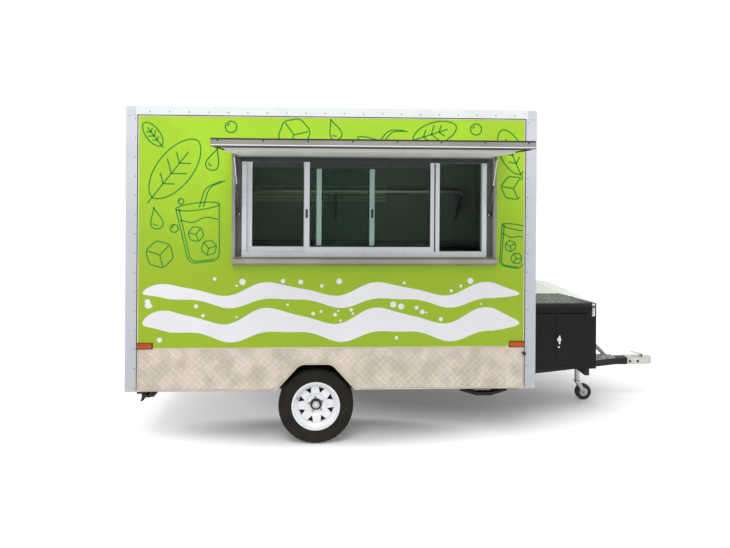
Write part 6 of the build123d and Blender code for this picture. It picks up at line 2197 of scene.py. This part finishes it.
@dataclass
class Undercarriage:
    """The axle's U-bolts with their nuts, and the threads of the stabilisers."""

    rod: float = 0.006
    leg_gap: float = 0.034
    leg_top: float = 0.045
    leg_foot: float = 0.056
    bend: float = 0.02
    nut: tuple[float, float] = (0.010, 0.009)
    nut_drop: float = 0.016
    thread_radius: float = 0.0105
    thread_depth: float = 0.0012
    thread_pitch: float = 0.006
    thread_ends: tuple[float, float] = (0.03, 0.02)

    def build_bolts(self) -> None:
        """Two U-bolts round the axle at each spring."""
        axle = extent("axle_beam").middle[0]
        shapes = []
        for spring in solids("leaf_springs"):
            y, reach = spring.middle[1], spring.size[1] / 2 + self.rod
            top, foot = spring.low[2] + self.leg_top, spring.low[2] - self.leg_foot
            left, right = y - reach, y + reach
            corners = np.array([(left, top), (left, foot), (right, foot), (right, top)])
            path = rounded_path(corners, self.bend, closed=False)
            for x in (axle - self.leg_gap, axle + self.leg_gap):
                line = np.column_stack([np.full(len(path), x), path])
                shapes.append(swept(line, circle(self.rod, 10), (1.0, 0.0, 0.0)))
                nuts = np.array([(x, side, top - self.nut_drop) for side in (left, right)])
                shapes.append(hex_bolt(*self.nut).repeated(nuts))
        make_object("axle_u_bolts", joined(shapes), HUB_STEEL)

    def build_threads(self) -> None:
        """A thread round each stabiliser's screw: its radius swings with the distance along it."""
        shapes = []
        for jack in solids("stabilisers"):
            x, y, z = jack.middle
            lengthwise = jack.size[0] > jack.size[1]
            way, spot = ("x", (jack.low[0], y, z)) if lengthwise else ("y", (x, jack.low[1], z))
            start, rest = self.thread_ends
            along = np.arange(start, max(jack.size[:2]) - rest, self.thread_pitch / 4)
            radius = self.thread_radius + self.thread_depth * np.cos(along * 2 * math.pi / self.thread_pitch)
            shapes.append(lathe(np.column_stack([along, radius]), 12).moved(facing(way), spot))
        make_object("stabiliser_threads", joined(shapes), HUB_STEEL)

    def build(self) -> None:
        """Dresses what hangs below the floor."""
        self.build_bolts()
        self.build_threads()


@dataclass
class RearEnd:
    """The entry door's seals, the tail lamps' ribs and bezels, and the marker lamps' bases and ribs.

    Ribs are given by how far they stand off, half their width, how many there are, their distance from
    the lens's ends and from its long edges.
    """

    seal: float = 0.007
    seal_round: float = 0.025
    pane_gap: float = 0.004
    bezel_gap: float = 0.004
    bezel_bar: float = 0.003
    bezel_depth: float = 0.012
    base_bevel: float = 0.0015
    rib: float = 0.0016
    rib_half: float = 0.0012
    rib_sunk: float = 0.001
    rib_edge: float = 0.006
    tail_ribs: tuple[int, float] = (9, 0.012)
    marker_ribs: tuple[int, float] = (8, 0.026)
    screw: tuple[float, float] = (0.004, 0.002)
    screw_inset: float = 0.014
    screw_sunk: float = 0.0005

    def upright_ring(self, box: Extent, gap: float, x: float) -> Shape:
        """A round seal along a box's outline in Y and Z, lying against a face that looks rearward."""
        path = rounded_path(rectangle(box.low[1:] - gap, box.high[1:] + gap), self.seal_round)
        line = np.column_stack([np.full(len(path), x), path])
        return swept(line, circle(1.0, 8) * (self.seal, self.seal * 0.6), (-1.0, 0.0, 0.0), closed=True)

    def build_door(self) -> None:
        """The seal round the leaf on the wall, and the one round its window on the leaf."""
        leaf, pane, wall = extent("rear_door"), extent("rear_door_pane"), extent("wall_rear")
        frame_seal = self.upright_ring(leaf, self.seal, wall.low[0])
        make_object("door_frame_seal", frame_seal, GASKET_AND_SHADE_BLACK, slot="knob_black")
        pane_seal = self.upright_ring(pane, self.pane_gap, leaf.low[0])
        make_object("door_pane_seal", pane_seal, GASKET_AND_SHADE_BLACK, "entry_door", "knob_black")

    def build_tail_lamps(self) -> None:
        """A black bezel round each lamp and fine ribs across its lens."""
        wall, bar = extent("tread_skirts").low[0], self.bezel_bar
        bezels, ribs = [], []
        count, inset = self.tail_ribs
        for lamp in solids("tail_lamps"):
            (left, foot), (right, top) = lamp.low[1:] - self.bezel_gap, lamp.high[1:] + self.bezel_gap
            for low, high in (
                ((left, foot), (right, foot + bar)), ((left, top - bar), (right, top)),
                ((left, foot), (left + bar, top)), ((right - bar, foot), (right, top)),
            ):
                bezels.append(bar_between((wall - self.bezel_depth, *low), (wall, *high), 0.001))
            ribs += [bar_between(
                (lamp.low[0] - self.rib, lamp.low[1] + self.rib_edge, z - self.rib_half),
                (lamp.low[0] + self.rib_sunk, lamp.high[1] - self.rib_edge, z + self.rib_half), FINE_BEVEL,
            ) for z in np.linspace(lamp.low[2] + inset, lamp.high[2] - inset, count)]
        make_object("tail_lamp_bezels", joined(bezels), KNOB_AND_SHADE_BLACK)
        make_object("tail_lamp_ribs", joined(ribs), LAMP_RED)

    def build_markers(self) -> None:
        """A dark red base under each marker lamp, ribs down its lens and a screw at each end."""
        bases, ribs, screws = [], [], []
        count, inset = self.marker_ribs
        for lamp in solids("marker_lamps"):
            low, high, gap = lamp.low, lamp.high, self.bezel_gap
            way, wall, face = (-1, high[1], low[1]) if lamp.middle[1] < 0 else (1, low[1], high[1])
            bases.append(bar_between(
                (low[0] - gap, wall, low[2] - gap),
                (high[0] + gap, wall + way * gap, high[2] + gap), self.base_bevel,
            ))
            ribs += [bar_between(
                (x - self.rib_half, face - way * self.rib_sunk, low[2] + self.rib_edge),
                (x + self.rib_half, face + way * self.rib, high[2] - self.rib_edge), FINE_BEVEL,
            ) for x in np.linspace(low[0] + inset, high[0] - inset, count)]
            ends = np.array([low[0] + self.screw_inset, high[0] - self.screw_inset])
            spots = on_side(ends, lamp.middle[2], face - way * self.screw_sunk)
            screws.append(dome(*self.screw, 3, 10).moved(facing("-y" if way < 0 else "y")).repeated(spots))
        make_object("marker_bases", joined(bases), MARKER_BASE)
        make_object("marker_ribs", joined(ribs), LAMP_AMBER)
        make_object("marker_screws", joined(screws), RIVET_ALU, slot="jack_zinc")

    def build(self) -> None:
        """Dresses the door and the lamps."""
        self.build_door()
        self.build_tail_lamps()
        self.build_markers()


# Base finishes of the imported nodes

NODE_FINISHES: dict[Finish, tuple[str, ...]] = {
    WALL_GREEN: ("wall_near", "wall_far", "wall_front", "wall_rear"),
    DOOR_GREEN: ("rear_door",),
    ROOF_WHITE: ("roof_panel",),
    TRIM_WHITE: ("corner_trims",),
    ROOF_TRIM_PAINTED_LIGHT: ("roof_trim",),
    TREAD_ALU: ("tread_skirts",),
    CHASSIS_BLACK: (
        "chassis_frame", "floor_joists", "drawbar", "locker_bearers", "stabilisers", "wheel_wells",
    ),
    AXLE_BLACK: ("axle_beam", "leaf_springs"),
    LOCKER_BLACK: ("locker_shell", "locker_door_rear", "locker_door_front"),
    LID_TREAD: ("locker_lid",),
    STEP_ALU: ("drawbar_plate",),
    COUPLER_STEEL: ("coupler", "coupler_lever"),
    JACK_ZINC: ("jack_leg", "jack_fork"),
    TYRE_RUBBER: ("tyre_near", "tyre_far"),
    JACK_RUBBER: ("jack_wheel",),
    RIM_WHITE: ("rim_near", "rim_far"),
    HUB_STEEL: ("hub_near", "hub_far"),
    LINING_GREY: ("opening_frame",),
    JAMB_GREY: ("jamb_panels",),
    SILL_METAL: ("window_sill",),
    WINDOW_ALU: ("window_frame", "window_sashes", "flap_hinge_wall", "flap_hinge_leaf"),
    PANE_GLASS: ("window_panes", "rear_door_pane"),
    STRUT_BLACK: ("strut_rear_tube", "strut_front_tube", "strut_anchors", "flap_brackets"),
    ROD_CHROME: ("strut_rear_rod", "strut_front_rod"),
    LAMP_AMBER: ("marker_lamps",),
    LAMP_RED: ("tail_lamps",),
    KNOB_AND_SHADE_BLACK: ("side_knob", "plate_holder"),
    BENCH_STEEL: ("worktops",),
    SHELF_STEEL: ("shelf_rails", "shelf_brackets"),
    FLOOR_PLY: ("floor_panel",),
    HANDLE_CHROME: ("rear_door_handle", "rear_door_hinges", "locker_handle"),
    FLAP_WHITE: ("flap_panel",),
}


def main() -> None:
    """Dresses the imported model, builds each sub-assembly's pieces and sets up the room."""
    logging.basicConfig(level=logging.INFO, format="%(message)s")
    build_effects()
    for finish, nodes in NODE_FINISHES.items():
        dress(finish, *nodes)
        log.info("%s on %s", finish.name, ", ".join(nodes))
    parts = (
        BoxTrim(), TreadSkirts(), WheelSet(), WrapArt(), ServingHatch(), Cabin(), Flap(), Locker(), DrawGear(),
        Undercarriage(), RearEnd(),
    )
    for part in parts:
        part.build()
        log.info("%s dressed", type(part).__name__)
    ViewFinder().build()
    Studio().build()


if __name__ == "__main__":
    main()
